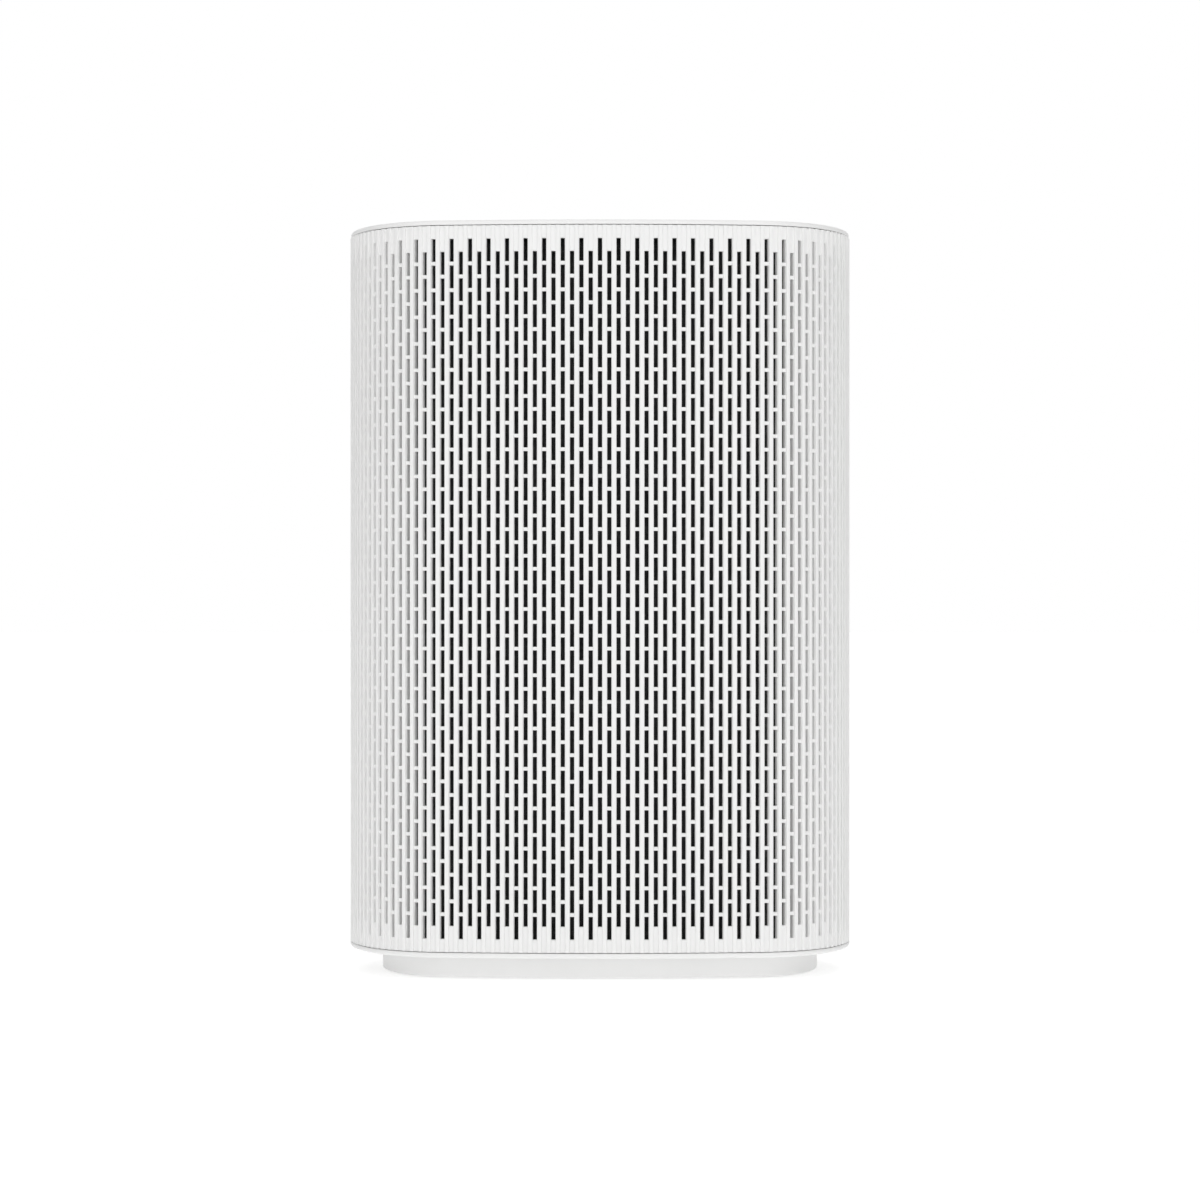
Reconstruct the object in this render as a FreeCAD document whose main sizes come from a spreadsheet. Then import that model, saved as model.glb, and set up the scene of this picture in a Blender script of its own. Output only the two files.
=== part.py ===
"""Parametric model of an upright room air purifier, in millimetres, +Z up.

The origin is on the floor under the middle of the body. The front faces -Y.
Two perforated covers pull off front and back. Behind each sits a dust screen and a
pleated filter. A double-inlet centrifugal fan between the filters blows up through
the grille in the top.
"""
import FreeCAD, Part
import math
import os

import Sketcher

Vector = FreeCAD.Vector
Rotation = FreeCAD.Rotation
Placement = FreeCAD.Placement

doc = FreeCAD.newDocument("AirPurifier")

SIZES = [
    ("body_width", 340.0, "body across its two rounded sides"),
    ("body_depth", 190.0, "body from front to back"),
    ("shell_height", 476.6, "perforated covers from edge to edge"),
    ("front_radius", 845.0, "gentle bow of the front and of the back"),
    ("front_turn", 7.0, "angle at which the bow passes into the corner"),
    ("corner_turn", 59.3, "angle at which the corner passes into the side"),
    ("foot_proud", 1.0, "feet below the plinth"),
    ("foot_radius", 9.0, "rubber foot"),
    ("foot_sink", 2.4, "foot let into the plinth"),
    ("foot_set_in", 40.0, "foot centre in from the side of the plinth"),
    ("foot_set_back", 29.0, "foot centre in from the front of the plinth"),
    ("plinth_height", 15.0, "set-back base"),
    ("plinth_inset", 22.0, "plinth in from the body"),
    ("plinth_wall", 3.0, "plinth floor and walls"),
    ("plinth_round", 1.6, "rounded lower edge of the plinth"),
    ("tray_thickness", 3.4, "tray that closes the body below"),
    ("tray_round", 2.4, "rounded lower edge of the tray"),
    ("tray_rim", 50.0, "width of the tray around its middle opening"),
    ("seam_gap", 0.5, "shadow gap above and below the covers"),
    ("cap_thickness", 3.0, "top cap"),
    ("cap_inset", 0.5, "cap in from the covers"),
    ("cap_round", 1.2, "rounded upper edge of the cap"),
    ("well_inset", 40.0, "air outlet well in from the body"),
    ("well_wall", 2.5, "wall of the outlet well"),
    ("cover_wall", 5.0, "cover thickness"),
    ("groove_pitch", 6.11, "flutes from centre to centre along the outline"),
    ("groove_width", 3.4, "flute"),
    ("groove_depth", 1.2, "flute"),
    ("slot_width", 2.8, "air slot in a flute"),
    ("slot_bridge", 2.3, "web between slots"),
    ("slot_margin", 8.5, "covers' edge to the first slot"),
    ("slot_rows", 5.0, "slots in one flute"),
    ("cover_part_gap", 0.6, "gap between the two covers at the sides"),
    ("side_room", 38.0, "chassis in from the body's sides"),
    ("front_room", 26.0, "chassis in from the body's front"),
    ("panel_thickness", 3.0, "chassis plates"),
    ("deck_drop", 19.4, "chassis deck below the underside of the cap"),
    ("baffle_thickness", 2.5, "plates beside the fan"),
    ("fan_half_width", 28.0, "half of the impeller's width"),
    ("fan_side_gap", 5.5, "impeller to baffle"),
    ("fan_height", 160.0, "fan axis above the floor"),
    ("fan_side_room", 52.0, "impeller in from the chassis side"),
    ("scroll_gap", 12.0, "impeller to scroll at the tongue"),
    ("scroll_growth", 8.0, "scroll radius gained each quarter turn"),
    ("scroll_wall", 2.5, "scroll wall"),
    ("inlet_step", 14.0, "fan inlet radius less than the impeller's"),
    ("blade_depth", 11.0, "impeller blades along the radius"),
    ("blade_thickness", 1.2, "impeller blade"),
    ("blade_count", 40.0, "impeller blades"),
    ("shaft_radius", 4.0, "motor shaft"),
    ("bearing_radius", 11.0, "ball bearing"),
    ("bearing_width", 7.0, "ball bearing"),
    ("motor_radius", 34.0, "motor can"),
    ("motor_start", 4.0, "motor can's front face behind the fan's middle"),
    ("filter_gap", 6.5, "filter frame to baffle"),
    ("filter_clear", 3.0, "filter to chassis side"),
    ("filter_wall", 4.0, "filter frame"),
    ("filter_headroom", 8.0, "filter top below the deck"),
    ("pleat_pitch", 8.0, "filter pleats"),
    ("pleat_shift", 4.0, "filter paper across a pleat"),
    ("carbon_thickness", 2.5, "carbon sheet"),
    ("screen_thickness", 2.2, "dust screen frame"),
    ("screen_border", 8.0, "dust screen frame's bars"),
    ("slat_pitch", 8.0, "outlet slats"),
    ("slat_thickness", 2.4, "outlet slat"),
    ("magnet_radius", 4.0, "cover magnet"),
    ("magnet_length", 3.0, "cover magnet"),
    ("button_radius", 7.0, "push button"),
    ("button_travel", 1.0, "push button"),
    ("fit_gap", 0.3, "clearance of parts that slide or lift out"),
    ("screw_radius", 2.0, "self-tapping screw"),
    ("screw_clearance", 0.1, "screw hole"),
    ("screw_head", 3.6, "screw head's radius"),
    ("post_radius", 6.0, "screw post in the plinth"),
    ("inlet_width", 24.0, "appliance inlet's window in the plinth"),
    ("inlet_depth", 18.0, "appliance inlet from front to back"),
    ("inlet_edge", 1.8, "plinth left above and below the inlet"),
    ("socket_radius", 4.1, "round ends of the inlet's figure-8 hole"),
    ("socket_depth", 13.0, "figure-8 hole"),
    ("pin_radius", 1.2, "inlet pin"),
    ("pin_spacing", 8.6, "inlet pins from centre to centre"),
    ("guard_thickness", 2.0, "finger guards and their bars"),
    ("guard_bar", 2.4, "finger guard's rings"),
    ("guard_spoke", 3.0, "finger guard's spokes"),
    ("guard_land", 10.0, "flat rim of guards and mount beyond the fan inlet"),
    ("mount_thickness", 2.5, "motor mount"),
    ("seal_width", 8.0, "filter's foam seal"),
    ("tab_width", 28.0, "pull tab on top of a filter"),
    ("tab_thickness", 1.2, "pull tab"),
    ("boss_room", 8.0, "magnet bosses out from the chassis side"),
    ("boss_width", 12.0, "magnet boss"),
    ("boss_height", 20.0, "magnet boss"),
    ("boss_set_back", 49.0, "magnet boss's face behind the body's front"),
    ("boss_from_end", 22.0, "magnet boss's middle from the cover's ends"),
    ("bracket_thickness", 1.6, "bracket that a magnet holds to"),
    ("bracket_height", 16.0, "bracket"),
    ("magnet_gap", 0.4, "magnet to bracket"),
    ("panel_width", 152.0, "control strip"),
    ("panel_depth", 20.0, "control strip"),
    ("panel_set_back", 11.0, "control strip behind the body's front"),
    ("panel_sink", 1.65, "control strip let into the cap"),
    ("panel_play", 0.2, "control strip to its recess, and below the cap's face"),
    ("near_button", 40.0, "inner push buttons from the middle"),
    ("far_button", 62.0, "outer push buttons from the middle"),
    ("lens_width", 33.8, "display window"),
    ("lens_depth", 7.8, "display window"),
    ("board_thickness", 1.6, "circuit boards"),
    ("board_drop", 4.5, "control board's underside below the cap"),
    ("switch_rise", 2.8, "top of a switch above the board's underside"),
    ("post_thin", 2.5, "post under the control board"),
]

sheet = doc.addObject("Spreadsheet::Sheet", "Sizes")
for row, (alias, value, meaning) in enumerate(SIZES, start=1):
    sheet.set(f"A{row}", meaning)
    sheet.set(f"B{row}", str(value))
    sheet.setAlias(f"B{row}", alias)
doc.recompute()


def number(rule):
    """Value of an expression at the present sizes."""
    return float(sheet.evalExpression(str(rule)))


# Lengths and levels that several pieces share, each a rule on the sheet.
half_width = "(Sizes.body_width / 2)"
half_depth = "(Sizes.body_depth / 2)"
plinth_top = "(Sizes.foot_proud + Sizes.plinth_height)"
tray_top = f"({plinth_top} + Sizes.tray_thickness)"
cover_low = f"({tray_top} + Sizes.seam_gap)"
cover_high = f"({cover_low} + Sizes.shell_height)"
cap_low = f"({cover_high} + Sizes.seam_gap)"
cap_high = f"({cap_low} + Sizes.cap_thickness)"
chassis_x = f"({half_width} - Sizes.side_room)"
chassis_y = f"({half_depth} - Sizes.front_room)"
bay_x = f"({chassis_x} - Sizes.panel_thickness)"
floor_top = f"({tray_top} + Sizes.panel_thickness)"
deck_low = f"({cap_low} - Sizes.deck_drop - Sizes.panel_thickness)"
deck_high = f"({deck_low} + Sizes.panel_thickness)"
fan_y = "(Sizes.fan_half_width + Sizes.fan_side_gap)"
baffle_y = f"({fan_y} + Sizes.baffle_thickness)"
impeller_radius = f"({chassis_x} - Sizes.fan_side_room)"
inlet_radius = f"({impeller_radius} - Sizes.inlet_step)"
scroll_start = f"({impeller_radius} + Sizes.scroll_gap)"
duct_x = f"({scroll_start} + 2.75 * Sizes.scroll_growth)"
filter_x = f"({bay_x} - Sizes.filter_clear)"
filter_back = f"({baffle_y} + Sizes.filter_gap)"
filter_front = f"({chassis_y} - Sizes.fit_gap)"
filter_low = f"({floor_top} + Sizes.filter_clear)"
filter_high = f"({deck_low} - Sizes.filter_headroom)"
screen_y = f"({chassis_y} + Sizes.fit_gap)"
screen_x = f"({chassis_x} - 2)"
screen_low = f"({floor_top} + 1.6)"
screen_high = f"({cap_low} - 5.9)"
well_floor = f"({deck_high} + 5)"

# The plan outline is three tangent arcs in each quarter: bow, corner and side.
bow_end = "(Sizes.front_turn * 1 deg)"
corner_end = "(Sizes.corner_turn * 1 deg)"
lean = f"((1 - sin({corner_end})) / cos({corner_end}))"
bow_less_corner = (f"((Sizes.front_radius - {half_width} - {lean} * (Sizes.front_radius - {half_depth}))"
                   f" / (1 - sin({bow_end}) - {lean} * cos({bow_end})))")
corner_radius = f"(Sizes.front_radius - {bow_less_corner})"
side_radius = (f"({corner_radius} + ({half_depth} - Sizes.front_radius + {bow_less_corner} * cos({bow_end}))"
               f" / cos({corner_end}))")

nodes = []


def keep(label, thing):
    """Name a finished sub-part; its label is its file name."""
    thing.Label = label
    nodes.append(thing)
    return thing


def block(name, low, high):
    """Box between two corners given as rules."""
    box = doc.addObject("Part::Box", name)
    for side, start, end in zip(("Length", "Width", "Height"), low, high):
        box.setExpression(side, f"({end}) - ({start})")
    for axis, start in zip("xyz", low):
        box.setExpression(f"Placement.Base.{axis}", str(start))
    return box


TURN_TO = {
    "x": Rotation(Vector(0, 1, 0), 90),
    "y": Rotation(Vector(1, 0, 0), -90),
    "z": Rotation(),
}


def rod(name, radius, foot, length, axis="z"):
    """Cylinder from its foot along an axis."""
    cylinder = doc.addObject("Part::Cylinder", name)
    cylinder.setExpression("Radius", str(radius))
    cylinder.setExpression("Height", str(length))
    cylinder.Placement = Placement(Vector(), TURN_TO[axis])
    for direction, start in zip("xyz", foot):
        cylinder.setExpression(f"Placement.Base.{direction}", str(start))
    return cylinder


def join(name, pieces):
    fused = doc.addObject("Part::MultiFuse", name)
    fused.Shapes = pieces
    return fused


def group(name, pieces):
    """Like pieces that stay separate solids in one node."""
    compound = doc.addObject("Part::Compound", name)
    compound.Links = pieces
    return compound


def carve(name, base, tools):
    """Base less its tools."""
    cut = doc.addObject("Part::Cut", name)
    cut.Base = base
    cut.Tool = tools[0] if len(tools) == 1 else group(name + "_tools", tools)
    return cut


def both(half):
    """The signs of a mirrored pair, applied to a rule."""
    return [f"-({half})", f"({half})"]


def plane_of(body, role):
    return next(feature for feature in body.Origin.OriginFeatures if feature.Role == role)


def new_body(name):
    return doc.addObject("PartDesign::Body", name)


def new_sketch(body, name, role="XY_Plane", offset=None):
    """Sketch on one of the body's own planes, moved along its normal by a rule."""
    sketch = body.newObject("Sketcher::SketchObject", name)
    sketch.AttachmentSupport = [(plane_of(body, role), "")]
    sketch.MapMode = "FlatFace"
    if offset is not None:
        sketch.setExpression("AttachmentOffset.Base.z", str(offset))
    return sketch


def pin_value(sketch, kind, reference, rule, name):
    """Add a driving constraint and tie it to its rule."""
    index = sketch.addConstraint(Sketcher.Constraint(kind, *reference, number(rule)))
    sketch.renameConstraint(index, name)
    sketch.setExpression(f"Constraints.{name}", rule)


def add_outline(sketch, inset, tag="edge"):
    """The body's plan outline, moved inwards: eight tangent arcs about fixed centres."""
    bow = math.radians(number("Sizes.front_turn"))
    corner = math.radians(number("Sizes.corner_turn"))
    right = math.pi / 2
    gap = number(inset)
    radii = [number(rule) - gap for rule in ("Sizes.front_radius", corner_radius, side_radius)]
    bow_centre = number("Sizes.front_radius") - number(half_depth)
    side_centre = number(half_width) - number(side_radius)
    reach = number(bow_less_corner)
    corner_x = reach * math.sin(bow)
    corner_y = reach * math.cos(bow) - bow_centre
    arcs = [
        (0, bow_centre, radii[0], 3 * right - bow, 3 * right + bow),
        (corner_x, -corner_y, radii[1], 3 * right + bow, 3 * right + corner),
        (side_centre, 0, radii[2], 3 * right + corner, 5 * right - corner),
        (corner_x, corner_y, radii[1], right - corner, right - bow),
        (0, -bow_centre, radii[0], right - bow, right + bow),
        (-corner_x, corner_y, radii[1], right + bow, right + corner),
        (-side_centre, 0, radii[2], right + corner, 3 * right - corner),
        (-corner_x, -corner_y, radii[1], 3 * right - corner, 3 * right - bow),
    ]
    first = sketch.GeometryCount
    for x, y, radius, start, end in arcs:
        circle = Part.Circle(Vector(x, y, 0), Vector(0, 0, 1), radius)
        sketch.addGeometry(Part.ArcOfCircle(circle, start, end), False)
    for step in range(8):
        after = (step + 1) % 8
        sketch.addConstraint(Sketcher.Constraint("Tangent", first + step, 2, first + after, 1))
    for step, axis in ((0, -2), (4, -2), (2, -1), (6, -1)):
        sketch.addConstraint(Sketcher.Constraint("PointOnObject", first + step, 3, axis))
    for one, other in ((0, 4), (1, 3), (1, 5), (1, 7), (2, 6)):
        sketch.addConstraint(Sketcher.Constraint("Equal", first + one, first + other))
    bow_rule = f"Sizes.front_radius - {half_depth}"
    side_rule = f"{half_width} - {side_radius}"
    pin_value(sketch, "Radius", (first,), f"Sizes.front_radius - ({inset})", f"{tag}_bow")
    pin_value(sketch, "Radius", (first + 1,), f"{corner_radius} - ({inset})", f"{tag}_corner")
    pin_value(sketch, "Radius", (first + 2,), f"{side_radius} - ({inset})", f"{tag}_side")
    pin_value(sketch, "DistanceY", (-1, 1, first, 3), bow_rule, f"{tag}_front_centre")
    pin_value(sketch, "DistanceY", (first + 4, 3, -1, 1), bow_rule, f"{tag}_back_centre")
    pin_value(sketch, "DistanceX", (-1, 1, first + 2, 3), side_rule, f"{tag}_right_centre")
    pin_value(sketch, "DistanceX", (first + 6, 3, -1, 1), side_rule, f"{tag}_left_centre")


def add_circle(sketch, radius, tag, centre=(0, 0)):
    """Circle about a fixed point of the sketch."""
    index = sketch.GeometryCount
    place = Vector(number(centre[0]), number(centre[1]), 0)
    sketch.addGeometry(Part.Circle(place, Vector(0, 0, 1), number(radius)), False)
    pin_value(sketch, "Radius", (index,), str(radius), f"{tag}_radius")
    if centre == (0, 0):
        sketch.addConstraint(Sketcher.Constraint("Coincident", index, 3, -1, 1))
    else:
        pin_value(sketch, "DistanceX", (-1, 1, index, 3), str(centre[0]), f"{tag}_across")
        pin_value(sketch, "DistanceY", (-1, 1, index, 3), str(centre[1]), f"{tag}_up")


def add_polygon(sketch, corners, tag):
    """Closed polygon whose corners are pairs of rules."""
    first = sketch.GeometryCount
    points = [Vector(number(x), number(y), 0) for x, y in corners]
    count = len(points)
    for step in range(count):
        sketch.addGeometry(Part.LineSegment(points[step], points[(step + 1) % count]), False)
    for step in range(count):
        after = first + (step + 1) % count
        sketch.addConstraint(Sketcher.Constraint("Coincident", first + step, 2, after, 1))
    for step, (x, y) in enumerate(corners):
        pin_value(sketch, "DistanceX", (-1, 1, first + step, 1), str(x), f"{tag}_x{step}")
        pin_value(sketch, "DistanceY", (-1, 1, first + step, 1), str(y), f"{tag}_y{step}")


def add_pad(body, sketch, length, both_ways=False, reverse=False):
    pad = body.newObject("PartDesign::Pad", sketch.Name + "_pad")
    pad.Profile = sketch
    pad.setExpression("Length", str(length))
    pad.SideType = "Symmetric" if both_ways else "One side"
    pad.Reversed = reverse
    return pad


def spun(name, corners):
    """Body turned about the Y axis from (radius, y) corners."""
    body = new_body(name)
    sketch = new_sketch(body, name + "_profile")
    add_polygon(sketch, corners, "corner")
    turned = body.newObject("PartDesign::Revolution", name + "_turned")
    turned.Profile = sketch
    turned.ReferenceAxis = (sketch, ["V_Axis"])
    turned.Angle = 360
    return body


def on_fan_axis(thing):
    """Lift a piece that is drawn about the origin to the fan's axis."""
    thing.setExpression("Placement.Base.z", "Sizes.fan_height")
    return thing


def round_edges(body, radius, level, outer_reach):
    """Fillet the outer edges that lie flat at one level."""
    doc.recompute()
    shape = body.Shape
    names = []
    for index, edge in enumerate(shape.Edges, start=1):
        box = edge.BoundBox
        flat = abs(box.ZMin - number(level)) < 1e-4 and abs(box.ZMax - number(level)) < 1e-4
        middle = edge.valueAt((edge.FirstParameter + edge.LastParameter) / 2)
        reach = max(abs(middle.x) / number(half_width), abs(middle.y) / number(half_depth))
        if flat and reach > outer_reach:
            names.append(f"Edge{index}")
    sharp = body.Tip
    fillet = body.newObject("PartDesign::Fillet", body.Name + "_round")
    fillet.Base = (sharp, names)
    fillet.setExpression("Radius", radius)


# ---------------------------------------------------------------- base

foot_x = f"({half_width} - Sizes.plinth_inset - Sizes.foot_set_in)"
foot_y = f"({half_depth} - Sizes.plinth_inset - Sizes.foot_set_back)"
base_screw_x = f"({foot_x} - 36)"
base_screw_y = f"({foot_y} + 8)"


def corners_of(x, y):
    return [(sign_x, sign_y) for sign_x in both(x) for sign_y in both(y)]


def make_feet():
    feet = []
    for index, (x, y) in enumerate(corners_of(foot_x, foot_y)):
        feet.append(rod(f"foot_{index}", "Sizes.foot_radius", (x, y, 0),
                        "Sizes.foot_proud + Sizes.foot_sink"))
    keep("rubber_feet", group("feet", feet))


inlet_x = "(Sizes.inlet_width / 2)"
inlet_y = f"({half_depth} - Sizes.plinth_inset)"
inlet_low = "(Sizes.foot_proud + Sizes.inlet_edge)"
inlet_high = "(Sizes.foot_proud + Sizes.plinth_height - Sizes.inlet_edge)"


def make_plinth():
    """Set-back moulded base: floor, wall, screw posts, foot sinks and the inlet's window."""
    body = new_body("plinth_shell")
    floor = new_sketch(body, "plinth_floor", offset="Sizes.foot_proud")
    add_outline(floor, "Sizes.plinth_inset")
    add_pad(body, floor, "Sizes.plinth_wall")
    wall = new_sketch(body, "plinth_side", offset="Sizes.foot_proud + Sizes.plinth_wall")
    add_outline(wall, "Sizes.plinth_inset")
    add_outline(wall, "Sizes.plinth_inset + Sizes.plinth_wall", "inside")
    add_pad(body, wall, "Sizes.plinth_height - Sizes.plinth_wall")
    round_edges(body, "Sizes.plinth_round", "Sizes.foot_proud", 0.5)
    posts = []
    holes = []
    for index, (x, y) in enumerate(corners_of(base_screw_x, base_screw_y)):
        posts.append(rod(f"plinth_post_{index}", "Sizes.post_radius",
                         (x, y, "Sizes.foot_proud + Sizes.plinth_wall / 2"),
                         "Sizes.plinth_height - Sizes.plinth_wall / 2"))
        holes.append(rod(f"plinth_hole_{index}", "Sizes.screw_radius + Sizes.screw_clearance",
                         (x, y, 0), plinth_top + " + 1"))
        holes.append(rod(f"plinth_counterbore_{index}", "Sizes.screw_head + 6 * Sizes.screw_clearance",
                         (x, y, 0), "Sizes.foot_proud + Sizes.plinth_wall"))
    for index, (x, y) in enumerate(corners_of(foot_x, foot_y)):
        holes.append(rod(f"foot_sink_{index}", "Sizes.foot_radius + Sizes.screw_clearance", (x, y, 0),
                         "Sizes.foot_proud + Sizes.foot_sink"))
    holes.append(block("inlet_window",
                       (f"-{inlet_x}", f"{inlet_y} - Sizes.inlet_depth - Sizes.panel_play", inlet_low),
                       (inlet_x, f"{inlet_y} + Sizes.plinth_wall", inlet_high)))
    holes_joined = join("plinth_holes", holes)
    keep("plinth", carve("plinth_cut", join("plinth_posts", [body] + posts), [holes_joined]))


def make_plinth_screws():
    """Countersunk from below through the plinth's posts into the tray."""
    screws = []
    for index, (x, y) in enumerate(corners_of(base_screw_x, base_screw_y)):
        head_low = "(Sizes.foot_proud + 0.6)"
        head = rod(f"base_screw_head_{index}", "Sizes.screw_head", (x, y, head_low),
                   f"Sizes.foot_proud + Sizes.plinth_wall - {head_low}")
        shank = rod(f"base_screw_shank_{index}", "Sizes.screw_radius", (x, y, head_low),
                    f"{tray_top} - 0.4 - {head_low}")
        screws.append(join(f"base_screw_{index}", [head, shank]))
    keep("plinth_screws", group("base_screws", screws))


def make_tray():
    """Thin tray with the body's full outline; its rim is the line seen under the covers."""
    body = new_body("tray_plate")
    sketch = new_sketch(body, "tray_outline", offset=plinth_top)
    add_outline(sketch, "0")
    add_outline(sketch, "Sizes.tray_rim", "opening")
    add_pad(body, sketch, "Sizes.tray_thickness")
    round_edges(body, "Sizes.tray_round", plinth_top, 0.8)
    holes = []
    for index, (x, y) in enumerate(corners_of(base_screw_x, base_screw_y)):
        holes.append(rod(f"tray_hole_{index}", "Sizes.screw_radius + Sizes.screw_clearance",
                         (x, y, f"{plinth_top} - 1"), "Sizes.tray_thickness + 2"))
    keep("bottom_tray", carve("tray_cut", body, holes))


def make_power_inlet():
    """Two-pin appliance inlet in the back of the plinth, open to the rear."""
    inlet_mid = f"(({inlet_low} + {inlet_high}) / 2)"
    play = "Sizes.panel_play"
    housing = block("inlet_block",
                    (f"-{inlet_x} + {play}", f"{inlet_y} - Sizes.inlet_depth", f"{inlet_low} + {play}"),
                    (f"{inlet_x} - {play}", f"{inlet_y} - Sizes.fit_gap", f"{inlet_high} - {play}"))
    lobe_x = "(0.9 * Sizes.socket_radius)"
    waist_z = "(0.83 * Sizes.socket_radius)"
    socket_foot = f"({inlet_y} - Sizes.socket_depth)"
    lobes = [rod(f"inlet_lobe_{index}", "Sizes.socket_radius", (x, socket_foot, inlet_mid),
                 "Sizes.socket_depth + 1", "y") for index, x in enumerate(both(lobe_x))]
    waist = block("inlet_waist", (f"-{lobe_x}", socket_foot, f"{inlet_mid} - {waist_z}"),
                  (lobe_x, f"{inlet_y} + 1", f"{inlet_mid} + {waist_z}"))
    shell = carve("inlet_shell", housing, [join("inlet_cavity", lobes + [waist])])
    pins = [rod(f"inlet_pin_{index}", "Sizes.pin_radius", (x, f"{socket_foot} - 1", inlet_mid),
                "Sizes.socket_depth - 2", "y") for index, x in enumerate(both("Sizes.pin_spacing / 2"))]
    keep("power_inlet", join("inlet_whole", [shell] + pins))


# ---------------------------------------------------------------- chassis


deck_screw_x = f"({duct_x} - 20)"
deck_screw_y = f"({fan_y} + 8)"
deck_head = 2.2


def make_chassis():
    """Five moulded plates that carry the fan, the filters and the covers' brackets."""
    keep("chassis_floor", block("floor_plate", (f"-{chassis_x}", f"-{chassis_y}", tray_top),
                                (chassis_x, chassis_y, floor_top)))
    keep("side_panel_left", block("left_plate", (f"-{chassis_x}", f"-{chassis_y}", floor_top),
                                  (f"-{bay_x}", chassis_y, deck_low)))
    keep("side_panel_right", block("right_plate", (bay_x, f"-{chassis_y}", floor_top),
                                   (chassis_x, chassis_y, deck_low)))
    deck = block("deck_plate", (f"-{chassis_x}", f"-{chassis_y}", deck_low),
                 (chassis_x, chassis_y, deck_high))
    outlet = block("deck_outlet", (f"-{duct_x}", f"-{fan_y}", f"{deck_low} - 1"),
                   (duct_x, fan_y, f"{deck_high} + 1"))
    holes = []
    for index, (x, y) in enumerate(corners_of(deck_screw_x, deck_screw_y)):
        holes.append(rod(f"deck_hole_{index}", "Sizes.screw_radius + Sizes.screw_clearance",
                         (x, y, f"{deck_low} - 1"), "Sizes.panel_thickness + 2"))
    keep("chassis_deck", carve("deck_cut", deck, [outlet] + holes))


def make_deck_screws():
    """Screws up through the deck into the posts of the top grille."""
    screws = []
    for index, (x, y) in enumerate(corners_of(deck_screw_x, deck_screw_y)):
        foot = (x, y, f"{deck_low} - {deck_head}")
        head = rod(f"deck_screw_head_{index}", "Sizes.screw_head", foot, deck_head)
        shank = rod(f"deck_screw_shank_{index}", "Sizes.screw_radius", foot,
                    f"{deck_head} + Sizes.panel_thickness + 4")
        screws.append(join(f"deck_screw_{index}", [head, shank]))
    keep("deck_screws", group("deck_screw_set", screws))


guard_screw_radius = f"({inlet_radius} + Sizes.guard_land / 2)"
lip_length = 2.5


def guard_screw_places():
    """Four screw centres on the diagonals around the fan inlet, as (x, z) rules."""
    reach = f"({guard_screw_radius} * cos(45 deg))"
    return [(x, f"(Sizes.fan_height + {z})") for x in both(reach) for z in both(reach)]


def guard_holes(tag, low, depth):
    """Screw holes through a plate beside the fan."""
    return [rod(f"{tag}_hole_{index}", "Sizes.screw_radius + Sizes.screw_clearance",
                (x, f"{low} - 1", z), f"{depth} + 2", "y")
            for index, (x, z) in enumerate(guard_screw_places())]


def make_baffle(side, sign):
    """Plate beside the fan with its round inlet and a short lip towards the impeller."""
    near, far = (fan_y, baffle_y) if sign > 0 else (f"-{baffle_y}", f"-{fan_y}")
    plate = block(f"baffle_plate_{side}", (f"-{bay_x}", near, floor_top), (bay_x, far, deck_low))
    lip_foot = f"({fan_y} - {lip_length})" if sign > 0 else f"-{baffle_y}"
    lip = rod(f"baffle_lip_{side}", f"{inlet_radius} + {lip_length}", (0, lip_foot, "Sizes.fan_height"),
              f"Sizes.baffle_thickness + {lip_length}", "y")
    bore = rod(f"baffle_bore_{side}", inlet_radius, (0, f"({near}) - 6", "Sizes.fan_height"), 20, "y")
    plate_with_lip = join(f"baffle_whole_{side}", [plate, lip])
    holes = guard_holes(f"baffle_{side}", f"({near})", "Sizes.baffle_thickness")
    keep(f"fan_baffle_{side}", carve(f"baffle_cut_{side}", plate_with_lip, [bore] + holes))


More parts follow.
